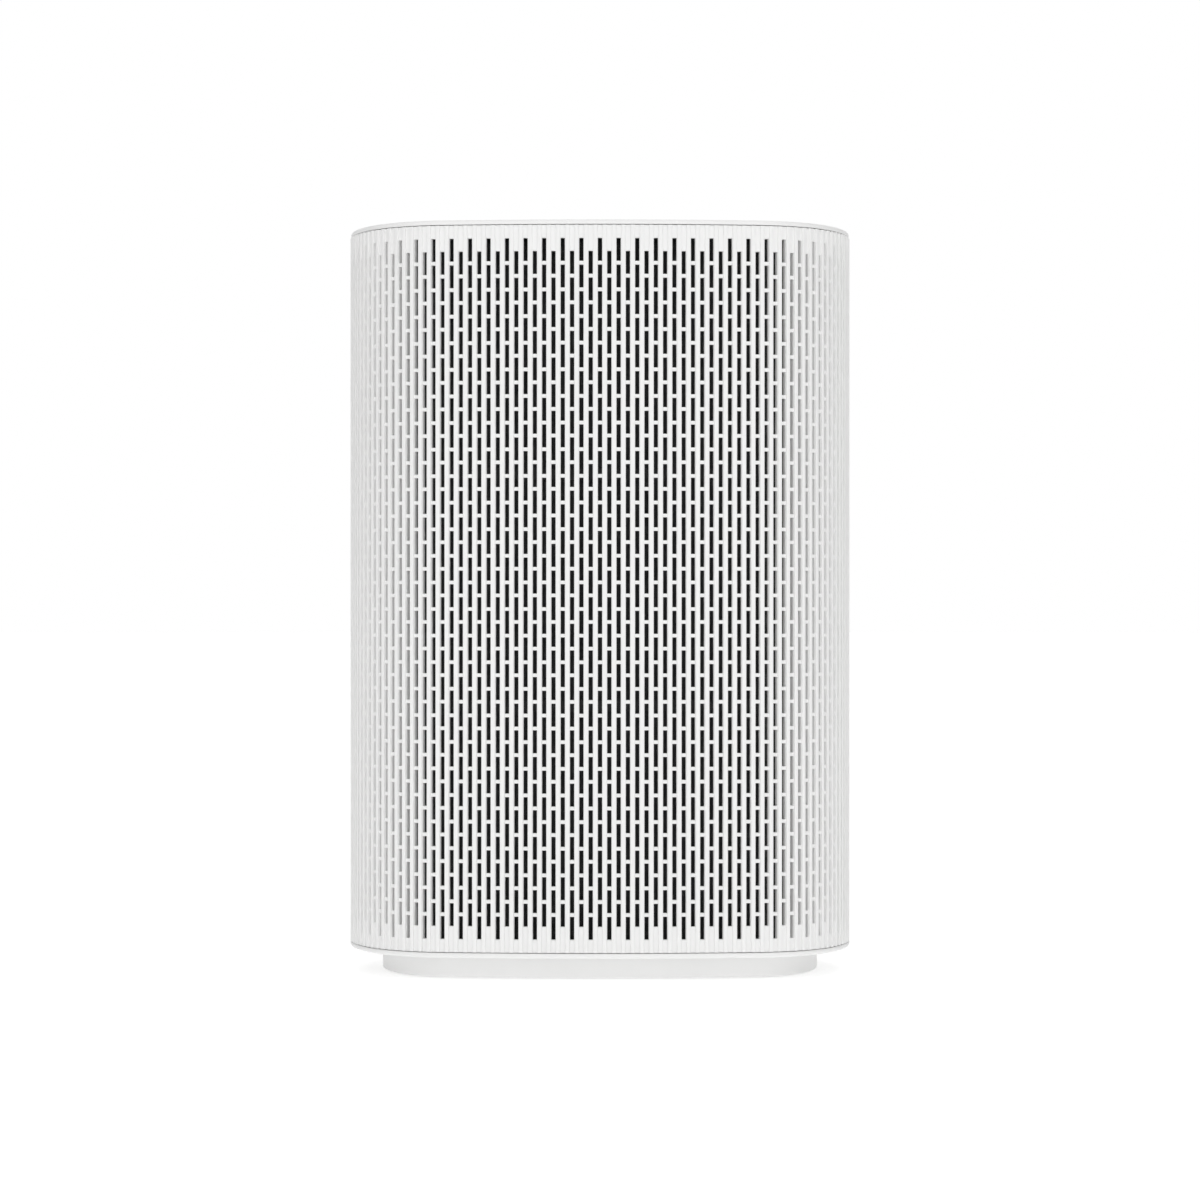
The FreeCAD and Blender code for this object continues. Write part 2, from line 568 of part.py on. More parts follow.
def make_scroll():
    """Fan scroll: three quarter arcs that widen by a step each, then the outlet duct."""
    body = new_body("scroll_body")
    radii = [f"({scroll_start} + {step} * Sizes.scroll_growth)" for step in range(3)]
    small = number("Sizes.scroll_growth") / 4
    centres = [(-small, -small), (3 * small, -small), (3 * small, 3 * small)]
    wall = number("Sizes.scroll_wall")
    rise = number(deck_low) - number("Sizes.fan_height")
    wire = []

    def arc(centre, radius, start, end):
        middle = (start + end) / 2
        points = [Vector(centre[0] + radius * math.cos(math.radians(a)),
                         centre[1] + radius * math.sin(math.radians(a)), 0) for a in (start, middle, end)]
        return Part.Arc(*points), points[0], points[2]

    sketch = new_sketch(body, "scroll_outline", "XZ_Plane")
    inner = [arc(centre, number(radius), 90 + 90 * step, 180 + 90 * step)
             for step, (centre, radius) in enumerate(zip(centres, radii))]
    outer = [arc(centre, number(radius) + wall, 90 + 90 * step, 180 + 90 * step)
             for step, (centre, radius) in enumerate(zip(centres, radii))]
    for curve, _, _ in inner + outer:
        wire.append(curve)
    inner_end = inner[-1][2]
    outer_end = outer[-1][2]
    wire.append(Part.LineSegment(inner_end, Vector(inner_end.x, rise, 0)))
    wire.append(Part.LineSegment(Vector(inner_end.x, rise, 0), Vector(outer_end.x, rise, 0)))
    wire.append(Part.LineSegment(Vector(outer_end.x, rise, 0), outer_end))
    wire.append(Part.LineSegment(inner[0][1], outer[0][1]))
    sketch.addGeometry(wire, False)
    add_pad(body, sketch, f"2 * {fan_y}", both_ways=True)
    tongue = f"({scroll_start} - Sizes.scroll_growth / 4)"
    shoulder = f"({tongue} + ({deck_low} - Sizes.fan_height - {tongue}) * 0.65)"
    top = f"({deck_low} - Sizes.fan_height)"
    tip = "(0 - Sizes.scroll_growth / 4)"
    ramp = new_sketch(body, "scroll_ramp", "XZ_Plane")
    add_polygon(ramp, [
        (tip, tongue),
        (f"-{duct_x}", shoulder),
        (f"-{duct_x}", top),
        (f"-{duct_x} - Sizes.scroll_wall", top),
        (f"-{duct_x} - Sizes.scroll_wall", f"{shoulder} - Sizes.scroll_wall / 2"),
        (f"{tip} - Sizes.scroll_wall", f"{tongue} - Sizes.scroll_wall / 2"),
    ], "ramp")
    add_pad(body, ramp, f"2 * {fan_y}", both_ways=True)
    keep("fan_scroll", on_fan_axis(body))


# ---------------------------------------------------------------- fan and motor


def make_impeller():
    """Double-inlet wheel: middle disc and hub, forty blades, a ring at each end."""
    shaft_bore = "Sizes.shaft_radius + 0.02"
    ring_thickness = 2.5
    lean = 3.0
    body = new_body("impeller_wheel")
    disc = new_sketch(body, "impeller_disc", "XZ_Plane")
    add_circle(disc, impeller_radius, "rim")
    add_circle(disc, shaft_bore, "bore")
    add_pad(body, disc, 2.4, both_ways=True)
    hub = new_sketch(body, "impeller_hub", "XZ_Plane", offset=1.0)
    add_circle(hub, 10.0, "hub")
    add_circle(hub, shaft_bore, "hub_bore")
    add_pad(body, hub, 11.0)
    blade = new_sketch(body, "impeller_blade", "XZ_Plane")
    tip = f"({impeller_radius} - 0.4)"
    root = f"({impeller_radius} - Sizes.blade_depth)"
    add_polygon(blade, [
        (root, -lean / 2),
        (f"({root} + {tip}) / 2", -lean / 10),
        (tip, lean),
        (tip, f"{lean} + Sizes.blade_thickness"),
        (f"({root} + {tip}) / 2", f"{-lean / 10} + Sizes.blade_thickness"),
        (root, f"{-lean / 2} + Sizes.blade_thickness"),
    ], "blade")
    blade_pad = add_pad(body, blade, "2 * Sizes.fan_half_width", both_ways=True)
    ring_of_blades = body.newObject("PartDesign::PolarPattern", "blades")
    ring_of_blades.Originals = [blade_pad]
    ring_of_blades.Axis = (blade, ["N_Axis"])
    ring_of_blades.Angle = 360
    ring_of_blades.setExpression("Occurrences", "Sizes.blade_count")
    body.Tip = ring_of_blades
    ends = (("front", f"Sizes.fan_half_width - {ring_thickness}"), ("back", "-Sizes.fan_half_width"))
    for side, offset in ends:
        ring = new_sketch(body, f"impeller_ring_{side}", "XZ_Plane", offset=offset)
        add_circle(ring, impeller_radius, "ring_outer")
        add_circle(ring, f"{impeller_radius} - 8", "ring_inner")
        body.Tip = add_pad(body, ring, ring_thickness)
    keep("impeller", on_fan_axis(body))


motor_end = baffle_y


def make_motor():
    """Motor can and end cover with a bearing seat each, wound stator inside."""
    start = "Sizes.motor_start"
    seat = "Sizes.bearing_radius"
    outside = "Sizes.motor_radius"
    inside = "(Sizes.motor_radius - 2)"
    passage = "(Sizes.shaft_radius + 1.5)"
    joint = f"({motor_end} - 4)"
    seat_wall = 1.5
    iron_radius = 18.2
    winding_radius = 19.0
    keep("motor_can", on_fan_axis(spun("motor_can_body", [
        (passage, start), (outside, start), (outside, joint), (inside, joint),
        (inside, f"{start} + 2"), (f"{seat} + 2", f"{start} + 2"),
        (f"{seat} + 2", f"{start} + {seat_wall} + Sizes.bearing_width"),
        (seat, f"{start} + {seat_wall} + Sizes.bearing_width"),
        (seat, f"{start} + {seat_wall}"), (passage, f"{start} + {seat_wall}"),
    ])))
    keep("motor_end_cover", on_fan_axis(spun("motor_end_body", [
        (passage, f"{motor_end} - {seat_wall}"), (seat, f"{motor_end} - {seat_wall}"),
        (seat, f"{motor_end} - {seat_wall} - Sizes.bearing_width"),
        (f"{seat} + 2", f"{motor_end} - {seat_wall} - Sizes.bearing_width"),
        (f"{seat} + 2", joint), (outside, joint), (outside, motor_end), (passage, motor_end),
    ])))
    keep("motor_stator", on_fan_axis(spun("motor_stator_body", [
        (winding_radius, f"{start} + 10"), (inside, f"{start} + 10"),
        (inside, f"{joint} - 6"), (winding_radius, f"{joint} - 6"),
    ])))
    bearing_starts = (f"({start} + {seat_wall})", f"({motor_end} - {seat_wall} - Sizes.bearing_width)")
    bearings = []
    for index, low in enumerate(bearing_starts):
        high = f"{low} + Sizes.bearing_width"
        bearings.append(on_fan_axis(spun(f"bearing_{index}", [
            ("Sizes.shaft_radius + 0.05", low), (seat, low),
            (seat, high), ("Sizes.shaft_radius + 0.05", high),
        ])))
    keep("motor_bearings", group("bearing_pair", bearings))
    keep("motor_rotor", on_fan_axis(spun("motor_rotor_body", [
        ("Sizes.shaft_radius + 0.02", f"{start} + 11"), (iron_radius, f"{start} + 11"),
        (iron_radius, f"{joint} - 7"), ("Sizes.shaft_radius + 0.02", f"{joint} - 7"),
    ])))
    keep("motor_shaft", rod("shaft_rod", "Sizes.shaft_radius", (0, "-18", "Sizes.fan_height"),
                            f"{motor_end} + 17", "y"))
    nut_bore = rod("nut_bore", "Sizes.shaft_radius + 0.02", (0, "-20", "Sizes.fan_height"), 10, "y")
    nut = doc.addObject("Part::Prism", "nut_prism")
    nut.Polygon = 6
    nut.Circumradius = 7.5
    nut.Height = 4.0
    nut.Placement = Placement(Vector(), TURN_TO["y"])
    nut.setExpression("Placement.Base.z", "Sizes.fan_height")
    nut.setExpression("Placement.Base.y", "0 - 16.4")
    keep("impeller_nut", carve("nut_cut", nut, [nut_bore]))


guard_rim = f"({inlet_radius} + Sizes.guard_land)"
RING_SHARES = (0.84, 0.68, 0.52, 0.36)
rear_guard_low = f"({baffle_y} + Sizes.mount_thickness)"


def guard_spoke(name, index, low):
    """One bar across the guard, from rim to rim."""
    spoke = doc.addObject("Part::Box", name)
    spoke.setExpression("Length", f"2 * {inlet_radius} + 6")
    spoke.setExpression("Width", "Sizes.guard_thickness")
    spoke.setExpression("Height", "Sizes.guard_spoke")
    turn = 22.5 + 45 * index
    spoke.Placement = Placement(Vector(), Rotation(Vector(0, 1, 0), turn))
    angle = f"({turn} * 1 deg)"
    reach = f"({inlet_radius} + 3)"
    spoke.setExpression("Placement.Base.x",
                        f"-{reach} * cos({angle}) - Sizes.guard_spoke / 2 * sin({angle})")
    spoke.setExpression("Placement.Base.y", low)
    spoke.setExpression("Placement.Base.z", f"Sizes.fan_height + {reach} * sin({angle})"
                                            f" - Sizes.guard_spoke / 2 * cos({angle})")
    return spoke


def make_guard(side, low):
    """Finger guard over a fan inlet: a rim and four rings on eight spokes, screwed to the baffle."""
    rings = [(guard_rim, "Sizes.guard_land + 0.5")]
    rings += [(f"({inlet_radius} * {share})", "Sizes.guard_bar") for share in RING_SHARES]
    pieces = []
    for index, (radius, width) in enumerate(rings):
        disc = rod(f"guard_disc_{side}_{index}", radius, (0, low, "Sizes.fan_height"),
                   "Sizes.guard_thickness", "y")
        bore = rod(f"guard_bore_{side}_{index}", f"{radius} - ({width})",
                   (0, f"{low} - 1", "Sizes.fan_height"), "Sizes.guard_thickness + 2", "y")
        pieces.append(carve(f"guard_ring_{side}_{index}", disc, [bore]))
    pieces.append(rod(f"guard_hub_{side}", 12.0, (0, low, "Sizes.fan_height"), "Sizes.guard_thickness", "y"))
    pieces += [guard_spoke(f"guard_spoke_{side}_{index}", index, low) for index in range(4)]
    holes = guard_holes(f"guard_{side}", low, "Sizes.guard_thickness")
    keep(f"inlet_guard_{side}", carve(f"guard_cut_{side}", join(f"guard_whole_{side}", pieces), holes))


def make_motor_mount():
    """Steel spider between the rear baffle and guard; it carries the motor by its end cover."""
    low, depth = baffle_y, "Sizes.mount_thickness"
    arm = 5.0
    reach = f"({inlet_radius} + 3)"
    disc = rod("mount_disc", guard_rim, (0, low, "Sizes.fan_height"), depth, "y")
    bore = rod("mount_bore", f"{inlet_radius} - 0.5", (0, f"{low} - 1", "Sizes.fan_height"), 5, "y")
    plate = rod("mount_plate", "Sizes.motor_radius - 8", (0, low, "Sizes.fan_height"), depth, "y")
    arms = [block("mount_arm_across", (f"-{reach}", low, f"Sizes.fan_height - {arm}"),
                  (reach, f"{low} + {depth}", f"Sizes.fan_height + {arm}")),
            block("mount_arm_up", (-arm, low, f"Sizes.fan_height - {reach}"),
                  (arm, f"{low} + {depth}", f"Sizes.fan_height + {reach}"))]
    shaft_hole = rod("mount_shaft_hole", "Sizes.shaft_radius + 1.5",
                     (0, f"{low} - 1", "Sizes.fan_height"), 5, "y")
    ring = carve("mount_ring", disc, [bore])
    holes = [shaft_hole] + guard_holes("mount", low, depth)
    keep("motor_mount", carve("mount_cut", join("mount_whole", [ring, plate] + arms), holes))


def make_guard_screws():
    """Pan-head screws that hold both guards, and the motor mount behind one of them."""
    head_height = 1.6
    screws = []
    sides = (("front", -1, f"({baffle_y} + Sizes.guard_thickness)"),
             ("rear", 1, f"({rear_guard_low} + Sizes.guard_thickness)"))
    for side, sign, outer in sides:
        for index, (x, z) in enumerate(guard_screw_places()):
            reach = f"({outer} - {fan_y} + 2)"
            start = f"-({outer} + {head_height})" if sign < 0 else outer
            shank_start = f"-({outer} + 0.8)" if sign < 0 else f"({outer} + 0.8 - {reach})"
            head = rod(f"guard_screw_head_{side}_{index}", "Sizes.screw_head - 0.2", (x, start, z),
                       head_height, "y")
            shank = rod(f"guard_screw_shank_{side}_{index}", "Sizes.screw_radius", (x, shank_start, z),
                        reach, "y")
            screws.append(join(f"guard_screw_{side}_{index}", [head, shank]))
    keep("guard_screws", group("guard_screw_set", screws))


# ---------------------------------------------------------------- filters and screens


def front_and_rear(piece_maker):
    """Make the front piece, then the same piece turned half a circle for the back."""
    for side in ("front", "rear"):
        piece_maker(side)


def face_rear(thing, side):
    """Turn a finished front piece to the back."""
    if side == "rear":
        thing.Placement = Placement(Vector(), Rotation(Vector(0, 0, 1), 180))
    return thing


def make_filter(side):
    """Filter cassette: frame, pleated paper, carbon sheet, foam seal and a pull tab."""
    outer = block(f"{side}_cassette", (f"-{filter_x}", f"-{filter_front}", filter_low),
                  (filter_x, f"-{filter_back}", filter_high))
    wall = "Sizes.filter_wall"
    inner = block(f"{side}_cassette_window",
                  (f"-{filter_x} + {wall}", f"-{filter_front} - 1", f"{filter_low} + {wall}"),
                  (f"{filter_x} - {wall}", f"-{filter_back} + 1", f"{filter_high} - {wall}"))
    keep(f"{side}_filter_frame", face_rear(carve(f"{side}_cassette_cut", outer, [inner]), side))
    sheet_of_carbon = block(
        f"{side}_carbon_sheet",
        (f"-{filter_x} + {wall}", f"-{filter_back} - Sizes.carbon_thickness - 0.5", f"{filter_low} + {wall}"),
        (f"{filter_x} - {wall}", f"-{filter_back} - 0.5", f"{filter_high} - {wall}"))
    keep(f"{side}_filter_carbon", face_rear(group(f"{side}_carbon", [sheet_of_carbon]), side))
    pleats = doc.addObject("Part::Feature", f"{side}_pleats")
    pleats.Shape = pleated_block()
    keep(f"{side}_filter_pleats", face_rear(pleats, side))
    seal_outer = block(f"{side}_seal_outer", (f"-{filter_x}", f"-{filter_back}", filter_low),
                       (filter_x, f"-{baffle_y} - Sizes.fit_gap", filter_high))
    seal = "Sizes.seal_width"
    seal_inner = block(f"{side}_seal_inner",
                       (f"-{filter_x} + {seal}", f"-{filter_back} - 1", f"{filter_low} + {seal}"),
                       (f"{filter_x} - {seal}", f"-{baffle_y} + 1", f"{filter_high} - {seal}"))
    keep(f"{side}_filter_seal", face_rear(carve(f"{side}_seal_cut", seal_outer, [seal_inner]), side))
    tab_x = "Sizes.tab_width / 2"
    thickness = "Sizes.tab_thickness"
    tab_foot = block(f"{side}_tab_foot", (f"-{tab_x}", f"-{filter_front} + 1", filter_high),
                     (tab_x, f"-{filter_back} - 1", f"{filter_high} + {thickness}"))
    tab_grip = block(f"{side}_tab_grip",
                     (f"-{tab_x}", f"-{filter_front} + 1", f"{filter_high} + {thickness}"),
                     (tab_x, f"-{filter_front} + 1 + {thickness}", f"{filter_high} + 7"))
    keep(f"{side}_filter_tab", face_rear(join(f"{side}_tab", [tab_foot, tab_grip]), side))


def pleated_block():
    """Folded paper: a zigzag across the cassette, as tall as the frame's window."""
    reach = number(f"{filter_x} - Sizes.filter_wall")
    near = -number(f"{filter_front} - 1")
    shift = number("Sizes.pleat_shift")
    far = -number(f"{filter_back} + Sizes.carbon_thickness + 1.5") - shift
    folds = 2 * round(reach / number("Sizes.pleat_pitch"))
    step = 2 * reach / (2 * folds)
    front_line = []
    for index in range(2 * folds + 1):
        depth = near if index % 2 == 0 else far
        front_line.append(Vector(-reach + index * step, depth, number(f"{filter_low} + Sizes.filter_wall")))
    back_line = [point + Vector(0, shift, 0) for point in reversed(front_line)]
    outline = Part.makePolygon(front_line + back_line + [front_line[0]])
    height = number(f"{filter_high} - {filter_low} - 2 * Sizes.filter_wall")
    return Part.Face(outline).extrude(Vector(0, 0, height))


def make_screen(side):
    """Washable dust screen: a dark frame with two cross bars, and its fine mesh."""
    near, far = f"-{screen_y} - Sizes.screen_thickness", f"-{screen_y}"
    border = "Sizes.screen_border"
    plate = block(f"{side}_screen_plate", (f"-{screen_x}", near, screen_low), (screen_x, far, screen_high))
    span = f"(({screen_high} - {screen_low} - {border}) / 3)"
    windows = []
    for index in range(3):
        low = f"{screen_low} + {border} + {index} * {span}"
        windows.append(block(f"{side}_screen_window_{index}",
                             (f"-{screen_x} + {border}", f"{near} - 1", low),
                             (f"{screen_x} - {border}", f"{far} + 1", f"{low} + {span} - {border}")))
    frame = carve(f"{side}_screen_frame", plate, windows)
    keep(f"{side}_screen_frame", face_rear(frame, side))
    sheets = []
    middle = f"(0 - {screen_y} - Sizes.screen_thickness / 2)"
    for index in range(3):
        low = f"{screen_low} + {border} + {index} * {span}"
        sheets.append(block(f"{side}_mesh_{index}", (f"-{screen_x} + {border}", f"{middle} - 0.3", low),
                            (f"{screen_x} - {border}", f"{middle} + 0.3", f"{low} + {span} - {border}")))
    keep(f"{side}_screen_mesh", face_rear(group(f"{side}_mesh_set", sheets), side))


# ---------------------------------------------------------------- covers

boss_x = (f"({chassis_x} + Sizes.boss_room)", f"({chassis_x} + Sizes.boss_room + Sizes.boss_width)")
boss_face = f"({half_depth} - Sizes.boss_set_back)"
boss_levels = [f"({cover_low} + Sizes.boss_from_end)", f"({cover_high} - Sizes.boss_from_end)"]


def outline_place(distance):
    """Point on the outline and its outward angle, by the distance walked from the front's middle."""
    bow = math.radians(number("Sizes.front_turn"))
    corner = math.radians(number("Sizes.corner_turn"))
    reach = number(bow_less_corner)
    bow_centre = number("Sizes.front_radius") - number(half_depth)
    pieces = [
        (0.0, bow_centre, number("Sizes.front_radius"), 0.0, bow),
        (reach * math.sin(bow), bow_centre - reach * math.cos(bow), number(corner_radius), bow, corner),
        (number(half_width) - number(side_radius), 0.0, number(side_radius), corner, math.pi / 2),
    ]
    left = abs(distance)
    for x, y, radius, start, end in pieces:
        if left <= radius * (end - start):
            break
        left -= radius * (end - start)
    angle = start + left / radius
    side = 1 if distance >= 0 else -1
    return Vector(side * (x + radius * math.sin(angle)), y - radius * math.cos(angle), 0), side * angle


def quarter_length():
    """Outline length from the front's middle to the side's middle."""
    bow = math.radians(number("Sizes.front_turn"))
    corner = math.radians(number("Sizes.corner_turn"))
    return (number("Sizes.front_radius") * bow + number(corner_radius) * (corner - bow)
            + number(side_radius) * (math.pi / 2 - corner))


def upright_box(place, angle, width, depth_in, depth_out, low, high):
    """Box on the outline, square to it, from depth_in behind the surface to depth_out before it."""
    box = Part.makeBox(width, depth_in + depth_out, high - low, Vector(-width / 2, -depth_out, low))
    box.rotate(Vector(), Vector(0, 0, 1), math.degrees(angle))
    box.translate(place)
    return box


def cover_openings():
    """Flutes and staggered air slots of the front cover."""
    pitch = number("Sizes.groove_pitch")
    low, high = number(cover_low), number(cover_high)
    wall = number("Sizes.cover_wall")
    depth = number("Sizes.groove_depth")
    margin = number("Sizes.slot_margin")
    bridge = number("Sizes.slot_bridge")
    rows = int(number("Sizes.slot_rows"))
    period = (high - low - 3 * margin + bridge) / rows
    columns = int((quarter_length() - pitch * 0.6) / pitch)
    cutters = []
    for column in range(-columns, columns + 1):
        place, angle = outline_place(column * pitch)
        cutters.append(upright_box(place, angle, number("Sizes.groove_width"), depth, 1,
                                   low - 1, high + 1))
        drop = margin if column % 2 == 0 else 2 * margin
        for row in range(rows):
            top = high - drop - row * period
            cutters.append(upright_box(place, angle, number("Sizes.slot_width"), wall + 1, -depth / 2,
                                       top - period + bridge, top))
    return Part.makeCompound(cutters)


def make_cover(side):
    """Fluted, slotted half shell with four magnet bosses inside its corners."""
    sleeve = new_body(f"{side}_sleeve")
    ring = new_sketch(sleeve, f"{side}_sleeve_outline", offset=cover_low)
    add_outline(ring, "0")
    add_outline(ring, "Sizes.cover_wall", "inside")
    add_pad(sleeve, ring, "Sizes.shell_height")
    core = new_body(f"{side}_core")
    core_sketch = new_sketch(core, f"{side}_core_outline", offset=cover_low)
    add_outline(core_sketch, "Sizes.groove_depth + 1")
    add_pad(core, core_sketch, "Sizes.shell_height")
    front_space = block(f"{side}_half_space", (f"-{half_width} - 5", f"-{half_depth} - 5", 0),
                        (f"{half_width} + 5", "0 - Sizes.cover_part_gap / 2", cap_high))
    half = doc.addObject("Part::Common", f"{side}_half")
    half.Base = sleeve
    half.Tool = front_space
    bosses = []
    magnet_holes = []
    magnets = []
    for number_x, sign in enumerate((-1, 1)):
        for number_z, level in enumerate(boss_levels):
            name = f"{side}_{number_x}{number_z}"
            low_x, high_x = boss_x if sign > 0 else (f"-{boss_x[1]}", f"-{boss_x[0]}")
            bosses.append(block(f"boss_{name}", (low_x, f"-{half_depth}", f"{level} - Sizes.boss_height / 2"),
                                (high_x, f"-{boss_face}", f"{level} + Sizes.boss_height / 2")))
            middle = f"(({low_x} + {high_x}) / 2)"
            foot = (middle, f"-{boss_face} - Sizes.magnet_length", level)
            magnets.append(rod(f"magnet_{name}", "Sizes.magnet_radius", foot, "Sizes.magnet_length", "y"))
            magnet_holes.append(rod(f"magnet_hole_{name}", "Sizes.magnet_radius", foot,
                                    "Sizes.magnet_length + 1", "y"))
    trimmed = doc.addObject("Part::Common", f"{side}_bosses")
    trimmed.Base = group(f"{side}_boss_set", bosses)
    trimmed.Tool = core
    openings = doc.addObject("Part::Feature", f"{side}_openings")
    openings.Shape = cover_openings()
    slotted = carve(f"{side}_slotted", half, [openings])
    whole = join(f"{side}_with_bosses", [slotted, trimmed])
    keep(f"{side}_cover", face_rear(carve(f"{side}_cover_cut", whole, magnet_holes), side))
    keep(f"{side}_cover_magnets", face_rear(group(f"{side}_magnet_set", magnets), side))


def upright_pair(low, high, sign):
    """The two rules in rising order, on the positive or the negative side."""
    return (low, high) if sign > 0 else (f"-({high})", f"-({low})")


def make_brackets():
    """Steel angle brackets on the chassis sides that the covers' magnets hold to."""
    steel = "Sizes.bracket_thickness"
    far = f"({boss_face} - Sizes.magnet_gap)"
    half_height = "Sizes.bracket_height / 2"
    brackets = []
    for side_x in (-1, 1):
        for side_y in (-1, 1):
            face_x = upright_pair(chassis_x, boss_x[1], side_x)
            face_y = upright_pair(f"{far} - {steel}", far, side_y)
            leg_x = upright_pair(chassis_x, f"{chassis_x} + {steel}", side_x)
            leg_y = upright_pair(f"{boss_face} - 14", far, side_y)
            for index, level in enumerate(boss_levels):
                tag = f"{side_x + 1}{side_y + 1}{index}"
                low, high = (f"{level} - {half_height}", f"{level} + {half_height}")
                face = block(f"bracket_face_{tag}", (face_x[0], face_y[0], low), (face_x[1], face_y[1], high))
                leg = block(f"bracket_leg_{tag}", (leg_x[0], leg_y[0], low), (leg_x[1], leg_y[1], high))
                brackets.append(join(f"bracket_{tag}", [face, leg]))
    keep("cover_brackets", group("bracket_set", brackets))


# ---------------------------------------------------------------- top

panel_x = "(Sizes.panel_width / 2)"
panel_front = f"(0 - {half_depth} + Sizes.panel_set_back)"
panel_back = f"({panel_front} + Sizes.panel_depth)"
button_y = f"(({panel_front} + {panel_back}) / 2)"
BUTTONS = (("power", "(0 - Sizes.far_button)"), ("timer", "(0 - Sizes.near_button)"),
           ("speed", "Sizes.near_button"), ("night", "Sizes.far_button"))
lens_x = "(Sizes.lens_width / 2)"
lens_y = "(Sizes.lens_depth / 2)"
board_low = f"({cap_low} - Sizes.board_drop)"
board_top = f"({board_low} + Sizes.board_thickness)"
switch_top = f"({board_low} + Sizes.switch_rise)"


def board_corners():
    """Four posts that hold the control board under the cap."""
    return [(x, y) for x in both(f"{panel_x} - 6") for y in (f"({panel_front} + 4)", f"({panel_back} - 4)")]


def make_cap():
    """Flat top with a rounded edge, the outlet well's wall and the sunk control strip."""
    body = new_body("cap_shell")
    plate = new_sketch(body, "cap_outline", offset=cap_low)
    add_outline(plate, "Sizes.cap_inset")
    add_outline(plate, "Sizes.well_inset", "well")
    add_pad(body, plate, "Sizes.cap_thickness")
    wall = new_sketch(body, "cap_well", offset=deck_high)
    add_outline(wall, "Sizes.well_inset - Sizes.well_wall", "outer")
    add_outline(wall, "Sizes.well_inset", "inner")
    add_pad(body, wall, f"{cap_low} - {deck_high}")
    round_edges(body, "Sizes.cap_round", cap_high, 0.8)
    tools = [block("panel_recess", (f"-{panel_x}", panel_front, f"{cap_high} - Sizes.panel_sink"),
                   (panel_x, panel_back, f"{cap_high} + 1"))]
    for name, x in BUTTONS:
        tools.append(rod(f"{name}_cap_hole", "Sizes.button_radius + 2 * Sizes.fit_gap",
                         (x, button_y, f"{cap_low} - 1"), "Sizes.cap_thickness + 2"))
    tools.append(block("lens_cap_hole",
                       (f"-{lens_x} - 1.1", f"{button_y} - {lens_y} - 1.1", f"{cap_low} - 1"),
                       (f"{lens_x} + 1.1", f"{button_y} + {lens_y} + 1.1", f"{cap_high} + 1")))
    cut = carve("cap_cut", body, [join("cap_tools", tools)])
    posts = [rod(f"board_post_{index}", "Sizes.post_thin", (x, y, board_top),
                 f"{cap_low} + 0.5 - {board_top}") for index, (x, y) in enumerate(board_corners())]
    keep("top_cap", join("cap_whole", [cut] + posts))


def make_control_panel():
    """Thin strip let into the cap, with round holes for the buttons and a window."""
    play = "Sizes.panel_play"
    strip = block("strip_plate", (f"-{panel_x} + {play}", f"{panel_front} + {play}",
                                  f"{cap_high} - Sizes.panel_sink"),
                  (f"{panel_x} - {play}", f"{panel_back} - {play}", f"{cap_high} - {play}"))
    holes = [rod(f"{name}_strip_hole", "Sizes.button_radius + Sizes.fit_gap", (x, button_y, cap_low),
                 "Sizes.cap_thickness + 1") for name, x in BUTTONS]
    holes.append(block("lens_strip_hole", (f"-{lens_x} - 0.1", f"{button_y} - {lens_y} - 0.1", cap_low),
                       (f"{lens_x} + 0.1", f"{button_y} + {lens_y} + 0.1", f"{cap_high} + 1")))
    keep("control_panel", carve("strip_cut", strip, holes))
    keep("display_lens", block("lens_plate", (f"-{lens_x}", f"{button_y} - {lens_y}", f"{cap_low} + 0.4"),
                               (lens_x, f"{button_y} + {lens_y}", f"{cap_high} - {play}")))


def make_buttons():
    """Four round push buttons, each with a stem that ends above its switch."""
    head_low = f"({cap_low} + 0.6)"
    stem_low = f"({switch_top} + Sizes.button_travel + 0.2)"
    for name, x in BUTTONS:
        head = rod(f"{name}_head", "Sizes.button_radius", (x, button_y, head_low),
                   f"{cap_high} - Sizes.fit_gap - {head_low}")
        stem = rod(f"{name}_stem", 2.0, (x, button_y, stem_low), f"{cap_low} + 1 - {stem_low}")
        keep(f"{name}_button", join(f"{name}_whole", [head, stem]))


def make_control_board():
    """Circuit board under the strip with a switch below each button and the display block."""
    sunk = f"({board_top} - 0.1)"
    board = block("board_plate", (f"-{panel_x}", panel_front, board_low), (panel_x, panel_back, board_top))
    switches = [block(f"{name}_switch", (f"{x} - 3", f"{button_y} - 3", sunk),
                      (f"{x} + 3", f"{button_y} + 3", switch_top)) for name, x in BUTTONS]
    display = block("display_block", (f"-{lens_x} + 0.9", f"{button_y} - {lens_y} + 0.4", sunk),
                    (f"{lens_x} - 0.9", f"{button_y} + {lens_y} - 0.4", f"{cap_low} + 0.2"))
    keep("control_board", join("board_whole", [board, display] + switches))


